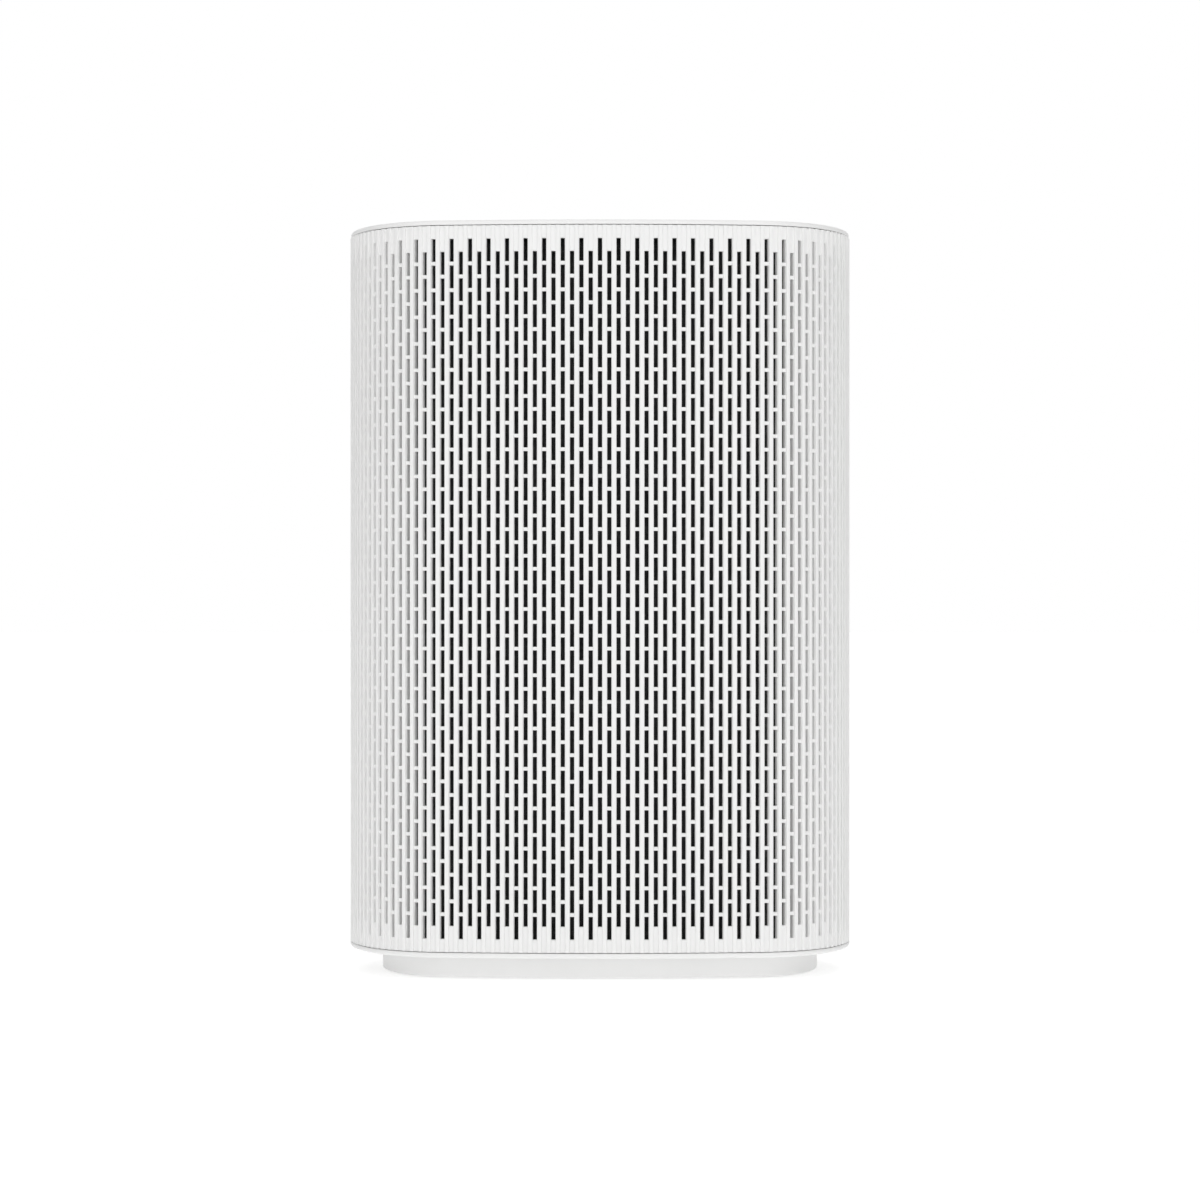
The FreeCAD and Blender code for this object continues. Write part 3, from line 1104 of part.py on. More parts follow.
def make_grille():
    """Outlet grille on the well's floor: a plate on four posts, with upright slats in its window."""
    body = new_body("grille_plate")
    plate = new_sketch(body, "grille_outline", offset=well_floor)
    add_outline(plate, "Sizes.well_inset + Sizes.fit_gap")
    add_pad(body, plate, "Sizes.baffle_thickness")
    window_x = f"({duct_x} - 3)"
    window_y = f"({fan_y} - 2)"
    window = block("grille_window", (f"-{window_x}", f"-{window_y}", f"{well_floor} - 1"),
                   (window_x, window_y, f"{well_floor} + 4"))
    slats = []
    half_count = int(number(f"({window_x} - Sizes.slat_thickness) / Sizes.slat_pitch"))
    for index in range(-half_count, half_count + 1):
        middle = f"({index} * Sizes.slat_pitch)"
        slats.append(block(f"slat_{index + half_count}",
                           (f"{middle} - Sizes.slat_thickness / 2", f"-{window_y}", f"{deck_high} + 1"),
                           (f"{middle} + Sizes.slat_thickness / 2", window_y,
                            f"{well_floor} + Sizes.baffle_thickness")))
    posts = []
    holes = []
    for index, (x, y) in enumerate(corners_of(deck_screw_x, deck_screw_y)):
        posts.append(rod(f"grille_post_{index}", "Sizes.post_radius - 1", (x, y, deck_high),
                         f"{well_floor} + 1 - {deck_high}"))
        holes.append(rod(f"grille_hole_{index}", "Sizes.screw_radius + Sizes.screw_clearance",
                         (x, y, f"{deck_high} - 1"), 5.2))
    keep("outlet_grille", carve("grille_cut", join("grille_whole", [body] + posts), [window] + holes))
    keep("grille_slats", group("slat_row", slats))


# ---------------------------------------------------------------- electronics


def make_electronics():
    """Supply board left of the duct, particle sensor on the right, cover switches at the sides."""
    low = f"(Sizes.fan_height + {scroll_start} + 24)"
    board_foot = f"(0 - {bay_x} + 4)"
    board_face = f"({board_foot} + Sizes.board_thickness)"
    board = block("supply_board", (board_foot, -28, low), (board_face, 28, f"{low} + 70"))
    spacers = [rod(f"supply_spacer_{index}", 3.0, (f"-{bay_x}", y, f"{low} + {z}"), 4.2, "x")
               for index, (y, z) in enumerate(((-22, 6), (22, 6), (-22, 64), (22, 64)))]
    sunk = f"({board_face} - 0.2)"
    parts = [block("transformer", (sunk, -20, f"{low} + 8"), (f"{board_foot} + 18", 2, f"{low} + 30")),
             block("heat_sink", (sunk, 8, f"{low} + 10"), (f"{board_foot} + 14", 12, f"{low} + 50")),
             rod("capacitor", 6.0, (sunk, -12, f"{low} + 48"), 16, "x")]
    keep("power_board", join("supply_whole", [board] + spacers + parts))
    sensor_low = f"({deck_low} - 84)"
    sensor_depth = 16
    sensor = block("sensor_box", (chassis_x, -20, sensor_low),
                   (f"{chassis_x} + {sensor_depth}", 20, f"{sensor_low} + 44"))
    mouth = rod("sensor_mouth", 4.0, (f"{chassis_x} + 6", 8, f"{sensor_low} + 30"), sensor_depth, "x")
    keep("dust_sensor", carve("sensor_cut", sensor, [mouth]))
    switches = []
    for index, y in enumerate((f"(0 - {boss_face} + 15)", f"({boss_face} - 27)")):
        switches.append(block(f"cover_switch_{index}", (chassis_x, y, f"{boss_levels[1]} - 5"),
                              (f"{chassis_x} + 6", f"{y} + 12", f"{boss_levels[1]} + 5")))
    keep("cover_switches", group("switch_set", switches))


make_feet()
make_plinth()
make_plinth_screws()
make_tray()
make_power_inlet()
make_chassis()
make_deck_screws()
make_baffle("front", -1)
make_baffle("rear", 1)
make_scroll()
make_impeller()
make_motor()
make_guard("front", f"(0 - {baffle_y} - Sizes.guard_thickness)")
make_guard("rear", rear_guard_low)
make_motor_mount()
make_guard_screws()
front_and_rear(make_filter)
front_and_rear(make_screen)
front_and_rear(make_cover)
make_brackets()
make_cap()
make_control_panel()
make_buttons()
make_control_board()
make_grille()
make_electronics()

doc.recompute()
for thing in doc.Objects:
    bad = [word for word in thing.State if word in ("Invalid", "Error")]
    if bad:
        raise RuntimeError(f"{thing.Label} did not build: {bad}")
for node in nodes:
    if node.Shape.isNull() or not node.Shape.isValid() or not node.Shape.Solids:
        raise RuntimeError(f"{node.Label} has no valid solid")
os.makedirs("parts", exist_ok=True)
for node in nodes:
    node.Shape.exportStep(f"parts/{node.Label}.step")
print(len(nodes), "sub-parts written")
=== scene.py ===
import math

import bpy
from mathutils import Matrix, Vector


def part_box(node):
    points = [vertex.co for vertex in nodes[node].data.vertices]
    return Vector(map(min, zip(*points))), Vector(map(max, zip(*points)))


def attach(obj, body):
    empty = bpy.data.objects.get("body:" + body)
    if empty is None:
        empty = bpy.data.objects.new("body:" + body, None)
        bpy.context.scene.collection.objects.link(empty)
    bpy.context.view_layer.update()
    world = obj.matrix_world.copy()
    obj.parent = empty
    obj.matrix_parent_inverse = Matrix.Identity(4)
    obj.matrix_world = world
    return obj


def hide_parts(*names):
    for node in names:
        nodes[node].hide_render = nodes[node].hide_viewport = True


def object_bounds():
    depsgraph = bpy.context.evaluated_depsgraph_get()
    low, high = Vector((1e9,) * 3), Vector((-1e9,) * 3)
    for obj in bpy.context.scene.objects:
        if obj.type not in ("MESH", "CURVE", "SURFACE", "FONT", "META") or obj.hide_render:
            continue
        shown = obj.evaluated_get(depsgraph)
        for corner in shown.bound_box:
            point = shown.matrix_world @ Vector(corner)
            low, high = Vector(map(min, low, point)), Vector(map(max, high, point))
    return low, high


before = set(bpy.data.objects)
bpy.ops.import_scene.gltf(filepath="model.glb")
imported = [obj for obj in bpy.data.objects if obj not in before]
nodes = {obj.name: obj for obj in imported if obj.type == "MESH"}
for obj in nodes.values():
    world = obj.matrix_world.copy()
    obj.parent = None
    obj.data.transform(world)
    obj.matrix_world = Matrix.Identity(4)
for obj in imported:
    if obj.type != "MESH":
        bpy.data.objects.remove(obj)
cad_low, cad_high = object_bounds()
mm = 0.001


# ---- Camera, floor and light ----
# The purifier stands alone on a white sweep. A long lens looks at it square from the front, level
# with its middle, and the white room and large soft boxes leave the flutes only lightly shaded.
case_middle = (cad_low + cad_high) / 2
camera_data = bpy.data.cameras.new("front_camera")
camera_data.sensor_width = 36.0
camera_data.lens = 98.55
camera_data.shift_y = 0.00625
camera_data.clip_end = 50.0
camera = bpy.data.objects.new("front_camera", camera_data)
camera.location = (0.0, cad_low.y - 2.148, 0.246)
camera.rotation_euler = (math.radians(90), 0.0, 0.0)
bpy.context.scene.collection.objects.link(camera)
bpy.context.scene.camera = camera
bpy.context.scene.view_settings.view_transform = "Standard"

# The backdrop is white all round. The light that it sheds is weaker from the purifier's sides.
world = bpy.data.worlds.new("white_room")
world.use_nodes = True
world_nodes = world.node_tree.nodes
world_link = world.node_tree.links.new
room_direction = world_nodes.new("ShaderNodeTexCoord")
room_parts = world_nodes.new("ShaderNodeSeparateXYZ")
room_side = world_nodes.new("ShaderNodeMath")
room_side.operation = "ABSOLUTE"
room_tone = world_nodes.new("ShaderNodeMapRange")
room_tone.inputs["From Min"].default_value = 0.2
room_tone.inputs["To Min"].default_value = 1.04
room_tone.inputs["To Max"].default_value = 0.12
world_link(room_direction.outputs["Generated"], room_parts.inputs["Vector"])
world_link(room_parts.outputs["X"], room_side.inputs[0])
world_link(room_side.outputs["Value"], room_tone.inputs["Value"])
backdrop_seen = world_nodes.new("ShaderNodeLightPath")
backdrop_tone = world_nodes.new("ShaderNodeMix")
backdrop_tone.inputs[3].default_value = 1.0
world_link(backdrop_seen.outputs["Is Camera Ray"], backdrop_tone.inputs[0])
world_link(room_tone.outputs["Result"], backdrop_tone.inputs[2])
world_link(backdrop_tone.outputs[0], world_nodes["Background"].inputs["Strength"])
world_nodes["Background"].inputs["Color"].default_value = (1.0, 1.0, 1.0, 1.0)
bpy.context.scene.world = world


def soft_box(name, place, size, power):
    """Square area light at one place, aimed at the middle of the case."""
    light = bpy.data.lights.new(name, "AREA")
    light.shape = "SQUARE"
    light.size = size
    light.energy = power
    lamp = bpy.data.objects.new(name, light)
    lamp.location = place
    lamp.rotation_euler = (case_middle - Vector(place)).to_track_quat("-Z", "Y").to_euler()
    bpy.context.scene.collection.objects.link(lamp)


soft_box("front_box", (0.0, -3.4, 0.9), 2.0, 10.0)
soft_box("top_box", (0.4, -0.6, 2.4), 1.6, 4.0)

bpy.ops.object.select_all(action="DESELECT")
bpy.ops.mesh.primitive_plane_add(size=60.0)
floor = bpy.context.object
floor.name = "floor"
floor_paint = bpy.data.materials.new("white_sweep")
floor_paint.use_nodes = True
floor_shader = floor_paint.node_tree.nodes["Principled BSDF"]
floor_shader.inputs["Base Color"].default_value = (0.95, 0.95, 0.95, 1.0)
floor_shader.inputs["Roughness"].default_value = 0.9
floor_shader.inputs["Emission Color"].default_value = (1.0, 1.0, 1.0, 1.0)
floor_shader.inputs["Emission Strength"].default_value = 0.32
floor.data.materials.append(floor_paint)


# ---- Rubber feet ----
# Four round pads of black rubber, pressed into sinks in the plinth's floor. Each has a rounded rim
# and a shallow ring in its sole.


def only(piece):
    """Select one object alone and make it the active one."""
    bpy.ops.object.select_all(action="DESELECT")
    piece.select_set(True)
    bpy.context.view_layer.objects.active = piece


def edit(piece, kind, chosen):
    """Enter edit mode on the piece with the chosen faces or edges selected."""
    only(piece)
    bpy.context.tool_settings.mesh_select_mode = (False, kind == "EDGE", kind == "FACE")
    bpy.ops.object.mode_set(mode="EDIT")
    bpy.ops.mesh.select_all(action="DESELECT")
    bpy.ops.object.mode_set(mode="OBJECT")
    mesh = piece.data
    if kind == "FACE":
        for face in mesh.polygons:
            face.select = chosen(face.center, face.normal)
    else:
        for edge in mesh.edges:
            start, end = (mesh.vertices[index].co for index in edge.vertices)
            edge.select = chosen(start, end)
    bpy.ops.object.mode_set(mode="EDIT")


def round_edges(piece, chosen, radius, segments=3):
    """Round the chosen edges over."""
    edit(piece, "EDGE", chosen)
    bpy.ops.mesh.bevel(offset=radius, segments=segments, profile=0.5, affect="EDGES")
    bpy.ops.object.mode_set(mode="OBJECT")


def at_level(level):
    """Test for edges that lie flat at one level."""
    return lambda start, end: abs(start.z - level) < 0.02 * mm and abs(end.z - level) < 0.02 * mm


def drum(x, y, low, high, radius, sides=64):
    """Upright cylinder with its place in its mesh."""
    bpy.ops.object.select_all(action="DESELECT")
    bpy.ops.mesh.primitive_cylinder_add(vertices=sides, radius=radius, depth=high - low,
                                        location=(x, y, (low + high) / 2))
    bpy.ops.object.transform_apply(location=True, rotation=True, scale=True)
    return bpy.context.object


def join(pieces):
    """Make several objects one."""
    bpy.ops.object.select_all(action="DESELECT")
    for piece in pieces:
        piece.select_set(True)
    bpy.context.view_layer.objects.active = pieces[0]
    bpy.ops.object.join()
    return pieces[0]


def finish_piece(piece, name, material, body, slot, *replaced, angle=35.0):
    """Name, colour and shade the piece, and let it ride in place of the CAD nodes."""
    only(piece)
    bpy.ops.object.shade_smooth_by_angle(angle=math.radians(angle))
    piece.name = name
    piece.data.name = name
    piece.data.materials.clear()
    piece.data.materials.append(material)
    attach(piece, body)
    if replaced:
        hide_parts(*replaced)
    return piece


def new_material(name, roughness, metallic=0.0):
    """Principled surface to which the helpers below add detail."""
    material = bpy.data.materials.new(name)
    material.use_nodes = True
    shader = material.node_tree.nodes["Principled BSDF"]
    shader.inputs["Roughness"].default_value = roughness
    shader.inputs["Metallic"].default_value = metallic
    return material


def add_node(material, kind, **values):
    """Add a shader node and set its inputs by name."""
    made = material.node_tree.nodes.new("ShaderNode" + kind)
    for socket, value in values.items():
        made.inputs[socket.replace("_", " ")].default_value = value
    return made


def on_object(material, made, stretch=(1.0, 1.0, 1.0)):
    """Lay a texture node over the piece in metres, stretched along each axis."""
    coordinates = add_node(material, "TexCoord")
    mapping = add_node(material, "Mapping", Scale=stretch)
    link = material.node_tree.links.new
    link(coordinates.outputs["Object"], mapping.inputs["Vector"])
    link(mapping.outputs["Vector"], made.inputs["Vector"])
    return made


def tint(material, pattern, dark, light):
    """Colour the surface from one tone to another by a pattern."""
    mix = add_node(material, "Mix")
    mix.data_type = "RGBA"
    mix.inputs[6].default_value = (*dark, 1.0)
    mix.inputs[7].default_value = (*light, 1.0)
    link = material.node_tree.links.new
    link(pattern, mix.inputs[0])
    link(mix.outputs[2], material.node_tree.nodes["Principled BSDF"].inputs["Base Color"])


def gloss(material, pattern, low, high):
    """Let a pattern vary the roughness."""
    spread = add_node(material, "MapRange", To_Min=low, To_Max=high)
    link = material.node_tree.links.new
    link(pattern, spread.inputs["Value"])
    link(spread.outputs["Result"], material.node_tree.nodes["Principled BSDF"].inputs["Roughness"])


def relief(material, pattern, height, strength=1.0):
    """Raise the surface by a pattern."""
    bump = add_node(material, "Bump", Strength=strength, Distance=height)
    link = material.node_tree.links.new
    link(pattern, bump.inputs["Height"])
    link(bump.outputs["Normal"], material.node_tree.nodes["Principled BSDF"].inputs["Normal"])


def plastic(name, colour, roughness, grain=1400.0, depth=0.02 * mm, drift=0.03):
    """Moulded plastic or rubber: fine spark-eroded grain and a faint drift of tone."""
    material = new_material(name, roughness)
    clouds = on_object(material, add_node(material, "TexNoise", Scale=12.0, Detail=3.0))
    pores = on_object(material, add_node(material, "TexNoise", Scale=grain, Detail=2.0))
    tint(material, clouds.outputs["Fac"], [part * (1 - drift) for part in colour], colour)
    gloss(material, pores.outputs["Fac"], roughness - 0.06, roughness + 0.06)
    relief(material, pores.outputs["Fac"], depth, 0.4)
    return material


foot_low, foot_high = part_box("rubber_feet")
foot_radius = 9.0 * mm
foot_rim = 2.5 * mm
foot_ring_width = 1.0 * mm
foot_ring_depth = 0.4 * mm
foot_edge = 0.25 * mm
foot_rubber = plastic("black_rubber", (0.035, 0.035, 0.037), 0.72, grain=700.0, depth=0.05 * mm)
feet = []
for foot_x in (foot_low.x + foot_radius, foot_high.x - foot_radius):
    for foot_y in (foot_low.y + foot_radius, foot_high.y - foot_radius):
        foot = drum(foot_x, foot_y, foot_low.z, foot_high.z, foot_radius)
        edit(foot, "FACE", lambda middle, normal: normal.z < -0.9)
        bpy.ops.mesh.inset(thickness=foot_rim)
        bpy.ops.mesh.inset(thickness=foot_ring_width, depth=-foot_ring_depth)
        bpy.ops.object.mode_set(mode="OBJECT")
        round_edges(foot, at_level(foot_low.z), foot_edge)
        feet.append(foot)
finish_piece(join(feet), "foot_pads", foot_rubber, "chassis", "foot_rubber", "rubber_feet")


# ---- Plinth ----
# A shallow white pan, set back under the body. Moulded in ABS with a rounded lower edge, sinks for
# the feet and screws in its floor, and a window for the power inlet at the back.
bow_radius = 845.0 * mm
bow_turn = math.radians(7.0)
corner_turn = math.radians(59.3)
side_turn = math.radians(90.0)

# The corner and side radii follow, so that bow, corner and side meet without a kink.
bow_centre = bow_radius - cad_high.y
turn_lean = (1 - math.sin(corner_turn)) / math.cos(corner_turn)
bow_to_corner = (bow_radius - cad_high.x - turn_lean * bow_centre) / (
    1 - math.sin(bow_turn) - turn_lean * math.cos(bow_turn))
corner_radius = bow_radius - bow_to_corner
corner_middle = Vector((bow_to_corner * math.sin(bow_turn), bow_centre - bow_to_corner * math.cos(bow_turn)))
side_radius = corner_radius - corner_middle.y / math.cos(corner_turn)
case_arcs = [
    (Vector((0.0, bow_centre)), bow_radius, 0.0, bow_turn),
    (corner_middle, corner_radius, bow_turn, corner_turn),
    (Vector((cad_high.x - side_radius, 0.0)), side_radius, corner_turn, side_turn),
]


def outline_point(turn, inset=0.0):
    """Point of the case outline that faces turn radians round from the front, moved inwards."""
    across, along = math.sin(turn), -math.cos(turn)
    lean = math.atan2(abs(across), abs(along))
    middle, radius = next(arc[:2] for arc in case_arcs if lean <= arc[3] + 1e-6)
    x = middle.x + (radius - inset) * math.sin(lean)
    y = middle.y - (radius - inset) * math.cos(lean)
    return Vector((math.copysign(x, across), math.copysign(y, along)))


def around_case(section, closed=True, steps=360):
    """Solid that follows the case outline; its section is a list of (inset, level) corners."""
    bpy.ops.object.select_all(action="DESELECT")
    bpy.ops.mesh.primitive_circle_add(vertices=steps, radius=1.0)
    ring = bpy.context.object
    bpy.context.tool_settings.mesh_select_mode = (True, False, False)
    bpy.ops.object.mode_set(mode="EDIT")
    bpy.ops.mesh.select_all(action="SELECT")
    for corner in section[0 if closed else 1:]:
        bpy.ops.mesh.extrude_region_move(TRANSFORM_OT_translate={"value": (0.0, 0.0, 1.0)})
    bpy.ops.object.mode_set(mode="OBJECT")
    for vertex in ring.data.vertices:
        inset, level = section[round(vertex.co.z) % len(section)]
        spot = outline_point(math.atan2(vertex.co.x, -vertex.co.y), inset)
        vertex.co = (spot.x, spot.y, level)
    weld(ring)
    return ring


def weld(piece):
    """Merge the vertices that meet, close open ends and turn every face outwards."""
    only(piece)
    bpy.context.tool_settings.mesh_select_mode = (True, False, False)
    bpy.ops.object.mode_set(mode="EDIT")
    bpy.ops.mesh.select_all(action="SELECT")
    bpy.ops.mesh.remove_doubles(threshold=0.01 * mm)
    bpy.ops.mesh.fill_holes(sides=0)
    bpy.ops.mesh.select_all(action="SELECT")
    bpy.ops.mesh.normals_make_consistent(inside=False)
    bpy.ops.object.mode_set(mode="OBJECT")


def quarter_round(inset, level, radius, start, end, steps=5):
    """Corners of a section along an arc about (inset, level), from one angle to another."""
    turns = [math.radians(start + (end - start) * step / steps) for step in range(steps + 1)]
    return [(inset + radius * math.cos(turn), level + radius * math.sin(turn)) for turn in turns]


def block(low, high):
    """Rectangular block between two corners, with its place in its mesh."""
    bpy.ops.object.select_all(action="DESELECT")
    bpy.ops.mesh.primitive_cube_add(size=1, location=[(a + b) / 2 for a, b in zip(low, high)])
    bpy.context.object.scale = [b - a for a, b in zip(low, high)]
    bpy.ops.object.transform_apply(location=True, rotation=True, scale=True)
    return bpy.context.object


def add_modifier(piece, kind, **settings):
    """Give the piece a modifier with these settings and apply it."""
    only(piece)
    modifier = piece.modifiers.new(kind.lower(), kind)
    for key, value in settings.items():
        setattr(modifier, key, value)
    bpy.ops.object.modifier_apply(modifier=modifier.name)


def cut(piece, *cutters):
    """Take the cutters' shapes out of the piece."""
    for cutter in cutters:
        add_modifier(piece, "BOOLEAN", operation="DIFFERENCE", solver="EXACT", object=cutter)
        bpy.data.objects.remove(cutter)


plinth_low, plinth_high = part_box("plinth")
plinth_inset = cad_high.x - plinth_high.x
plinth_wall = 3.0 * mm
plinth_round = 1.6 * mm
base_white = plastic("white_base", (0.87, 0.87, 0.865), 0.52)
plinth = around_case([
    (plinth_inset + plinth_wall, plinth_low.z + plinth_wall),
    (plinth_inset + plinth_wall, plinth_high.z),
    (plinth_inset, plinth_high.z),
    *quarter_round(plinth_inset + plinth_round, plinth_low.z + plinth_round, plinth_round, 180, 270),
], closed=False)
over = 2.0 * mm
sink_gap = 0.1 * mm
for sink_x in (foot_low.x + foot_radius, foot_high.x - foot_radius):
    for sink_y in (foot_low.y + foot_radius, foot_high.y - foot_radius):
        cut(plinth, drum(sink_x, sink_y, plinth_low.z - over, foot_high.z, foot_radius + sink_gap))
screw_low, screw_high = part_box("plinth_screws")
screw_head = 3.6 * mm
counterbore = 4.2 * mm
for screw_x in (screw_low.x + screw_head, screw_high.x - screw_head):
    for screw_y in (screw_low.y + screw_head, screw_high.y - screw_head):
        cut(plinth, drum(screw_x, screw_y, plinth_low.z - over, plinth_low.z + plinth_wall + over,
                         counterbore))
inlet_low, inlet_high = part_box("power_inlet")
window_gap = 0.2 * mm
cut(plinth, block((inlet_low.x - window_gap, inlet_low.y, inlet_low.z - window_gap),
                  (inlet_high.x + window_gap, plinth_high.y + over, inlet_high.z + window_gap)))
finish_piece(plinth, "plinth_pan", base_white, "chassis", "base_white", "plinth")


# ---- Bottom tray ----
# A thin white tray closes the body below, its rounded rim the bright line above the plinth. Four
# screws hold the plinth to it. Known fault: it lacks CAD's holes for them, so they overlap it.
tray_low, tray_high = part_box("bottom_tray")
tray_rim = 50.0 * mm
tray_round = 2.4 * mm
tray_edge = 0.3 * mm
tray = around_case([
    (tray_rim, tray_high.z),
    (tray_rim, tray_low.z),
    *quarter_round(tray_round, tray_low.z + tray_round, tray_round, 270, 180, 6),
    *quarter_round(tray_edge, tray_high.z - tray_edge, tray_edge, 180, 90, 2),
])
finish_piece(tray, "rim_tray", base_white, "chassis", "base_white", "bottom_tray")


def finish_nodes(material, *names):
    """Give CAD nodes whose shape is kept their finish."""
    for name in names:
        for material_slot in nodes[name].material_slots:
            material_slot.material = material


def metal(name, dark, light, roughness, stretch=(1.0, 1.0, 1.0), grain=900.0):
    """Bare metal: fine grain that can be drawn out along an axis, and a drift of tone."""
    material = new_material(name, roughness, metallic=1.0)
    lines = on_object(material, add_node(material, "TexNoise", Scale=grain, Detail=4.0), stretch)
    tint(material, lines.outputs["Fac"], dark, light)
    gloss(material, lines.outputs["Fac"], roughness - 0.1, roughness + 0.1)
    relief(material, lines.outputs["Fac"], 0.01 * mm, 0.5)
    return material


zinc_steel = metal("zinc_plated_steel", (0.50, 0.50, 0.52), (0.72, 0.72, 0.73), 0.32)
finish_nodes(zinc_steel, "plinth_screws")
socket_black = plastic("inlet_black", (0.03, 0.03, 0.03), 0.3, grain=900.0)
finish_nodes(socket_black, "power_inlet")


# ---- Chassis ----
# A dark frame inside the covers: floor, two sides and deck, screwed together, with a baffle plate
# before and behind the fan. Steel brackets for the covers' magnets, the boards and the sensor sit on it.
chassis_dark = plastic("chassis_dark", (0.10, 0.10, 0.105), 0.62, grain=800.0, depth=0.04 * mm, drift=0.1)
finish_nodes(chassis_dark, "chassis_floor", "side_panel_left", "side_panel_right", "chassis_deck",
             "fan_baffle_front", "fan_baffle_rear", "fan_scroll", "inlet_guard_front", "inlet_guard_rear")
finish_nodes(zinc_steel, "deck_screws", "guard_screws", "cover_brackets")
sensor_black = plastic("sensor_black", (0.07, 0.07, 0.075), 0.5, grain=1100.0)
finish_nodes(sensor_black, "dust_sensor", "cover_switches")

# Circuit boards show their copper runs as paler bands under the green mask.
board_green = new_material("green_board", 0.38)
board_runs = on_object(board_green, add_node(board_green, "TexBrick", Scale=160.0, Mortar_Size=0.035))
tint(board_green, board_runs.outputs["Fac"], (0.035, 0.17, 0.085), (0.09, 0.30, 0.15))
relief(board_green, board_runs.outputs["Fac"], 0.04 * mm, 0.5)
finish_nodes(board_green, "control_board", "power_board")


# ---- Fan and motor ----
# A grey drum impeller turns in the scroll on a ground shaft. The motor behind it has a dull painted
# can, copper windings round its stator and an iron rotor, and sits on a plate.
finish_nodes(plastic("impeller_grey", (0.16, 0.16, 0.17), 0.45, grain=1000.0, drift=0.08), "impeller")
finish_nodes(plastic("motor_coat", (0.30, 0.30, 0.31), 0.5, grain=600.0, depth=0.04 * mm, drift=0.1),
             "motor_can", "motor_end_cover")
finish_nodes(zinc_steel, "motor_mount", "motor_bearings", "impeller_nut")
finish_nodes(metal("ground_shaft", (0.66, 0.66, 0.67), (0.80, 0.80, 0.81), 0.2, (1.0, 0.05, 1.0)),
             "motor_shaft")
finish_nodes(metal("rotor_iron", (0.16, 0.16, 0.17), (0.30, 0.30, 0.31), 0.5, (1.0, 6.0, 1.0)), "motor_rotor")
winding_copper = new_material("enamelled_copper", 0.3, metallic=1.0)
wires = on_object(winding_copper, add_node(winding_copper, "TexWave", Scale=700.0, Distortion=1.5))
tint(winding_copper, wires.outputs["Fac"], (0.42, 0.18, 0.08), (0.80, 0.45, 0.24))
relief(winding_copper, wires.outputs["Fac"], 0.15 * mm, 0.8)
finish_nodes(winding_copper, "motor_stator")


# ---- Air filters ----
# A cassette slides in before each fan inlet: white card frame, a white paper pleat pack with beads
# of glue between its folds, a carbon sheet behind and a foam seal on its back edge.


def frame_of(low, high, windows, radius):
    """Flat frame between two corners, its windows cut through from front to back, edges rounded."""
    made = block(low, high)
    for window_low, window_high in windows:
        cut(made, block((window_low[0], low.y - over, window_low[1]),
                        (window_high[0], high.y + over, window_high[1])))
    add_modifier(made, "BEVEL", width=radius, segments=2, limit_method="ANGLE", angle_limit=math.radians(40))
    return made


card_white = new_material("white_card", 0.7)
card_fibres = on_object(card_white, add_node(card_white, "TexNoise", Scale=260.0, Detail=6.0),
                        (1.0, 1.0, 0.25))
tint(card_white, card_fibres.outputs["Fac"], (0.76, 0.76, 0.74), (0.88, 0.88, 0.865))
relief(card_white, card_fibres.outputs["Fac"], 0.08 * mm, 0.5)
pleat_paper = new_material("pleat_paper", 0.9)
paper_fibres = on_object(pleat_paper, add_node(pleat_paper, "TexNoise", Scale=900.0, Detail=8.0))
tint(pleat_paper, paper_fibres.outputs["Fac"], (0.80, 0.80, 0.77), (0.93, 0.93, 0.91))
relief(pleat_paper, paper_fibres.outputs["Fac"], 0.06 * mm, 0.6)
glue_white = plastic("glue_bead", (0.86, 0.86, 0.83), 0.35, grain=300.0)
foam_grey = new_material("seal_foam", 0.95)
foam_cells = on_object(foam_grey, add_node(foam_grey, "TexVoronoi", Scale=1100.0))
tint(foam_grey, foam_cells.outputs["Distance"], (0.02, 0.02, 0.02), (0.11, 0.11, 0.112))
relief(foam_grey, foam_cells.outputs["Distance"], 0.3 * mm, 0.8)
carbon_black = new_material("carbon_granules", 0.85)
granules = on_object(carbon_black, add_node(carbon_black, "TexVoronoi", Scale=520.0))
tint(carbon_black, granules.outputs["Distance"], (0.012, 0.012, 0.013), (0.06, 0.06, 0.062))
relief(carbon_black, granules.outputs["Distance"], 0.6 * mm, 0.9)
tab_film = plastic("blue_tab_film", (0.33, 0.50, 0.60), 0.4, grain=500.0)

pleat_pitch = 5.0 * mm
paper_thickness = 0.5 * mm
fold_sharpness = 0.985
bead_spacing = 31.0 * mm
bead_depth = 2.0 * mm
bead_half_height = 0.6 * mm
bead_round = 0.4 * mm


def pleat_pack(low, high):
    """Paper folded to and fro across the cassette, its folds slightly rounded."""
    pleats = round((high.x - low.x) / pleat_pitch)
    quarters = 8
    bpy.ops.object.select_all(action="DESELECT")
    bpy.ops.mesh.primitive_grid_add(x_subdivisions=pleats * quarters, y_subdivisions=1, size=1.0)
    paper = bpy.context.object
    middle = (low.y + high.y) / 2
    swing = (high.y - low.y) / 2 - paper_thickness
    for vertex in paper.data.vertices:
        share = vertex.co.x + 0.5
        rise = vertex.co.y + 0.5
        wave = math.asin(fold_sharpness * math.sin(2 * math.pi * share * pleats)) / math.asin(fold_sharpness)
        vertex.co = (low.x + share * (high.x - low.x), middle + swing * wave, low.z + rise * (high.z - low.z))
    add_modifier(paper, "SOLIDIFY", thickness=paper_thickness, offset=0.0)
    return paper


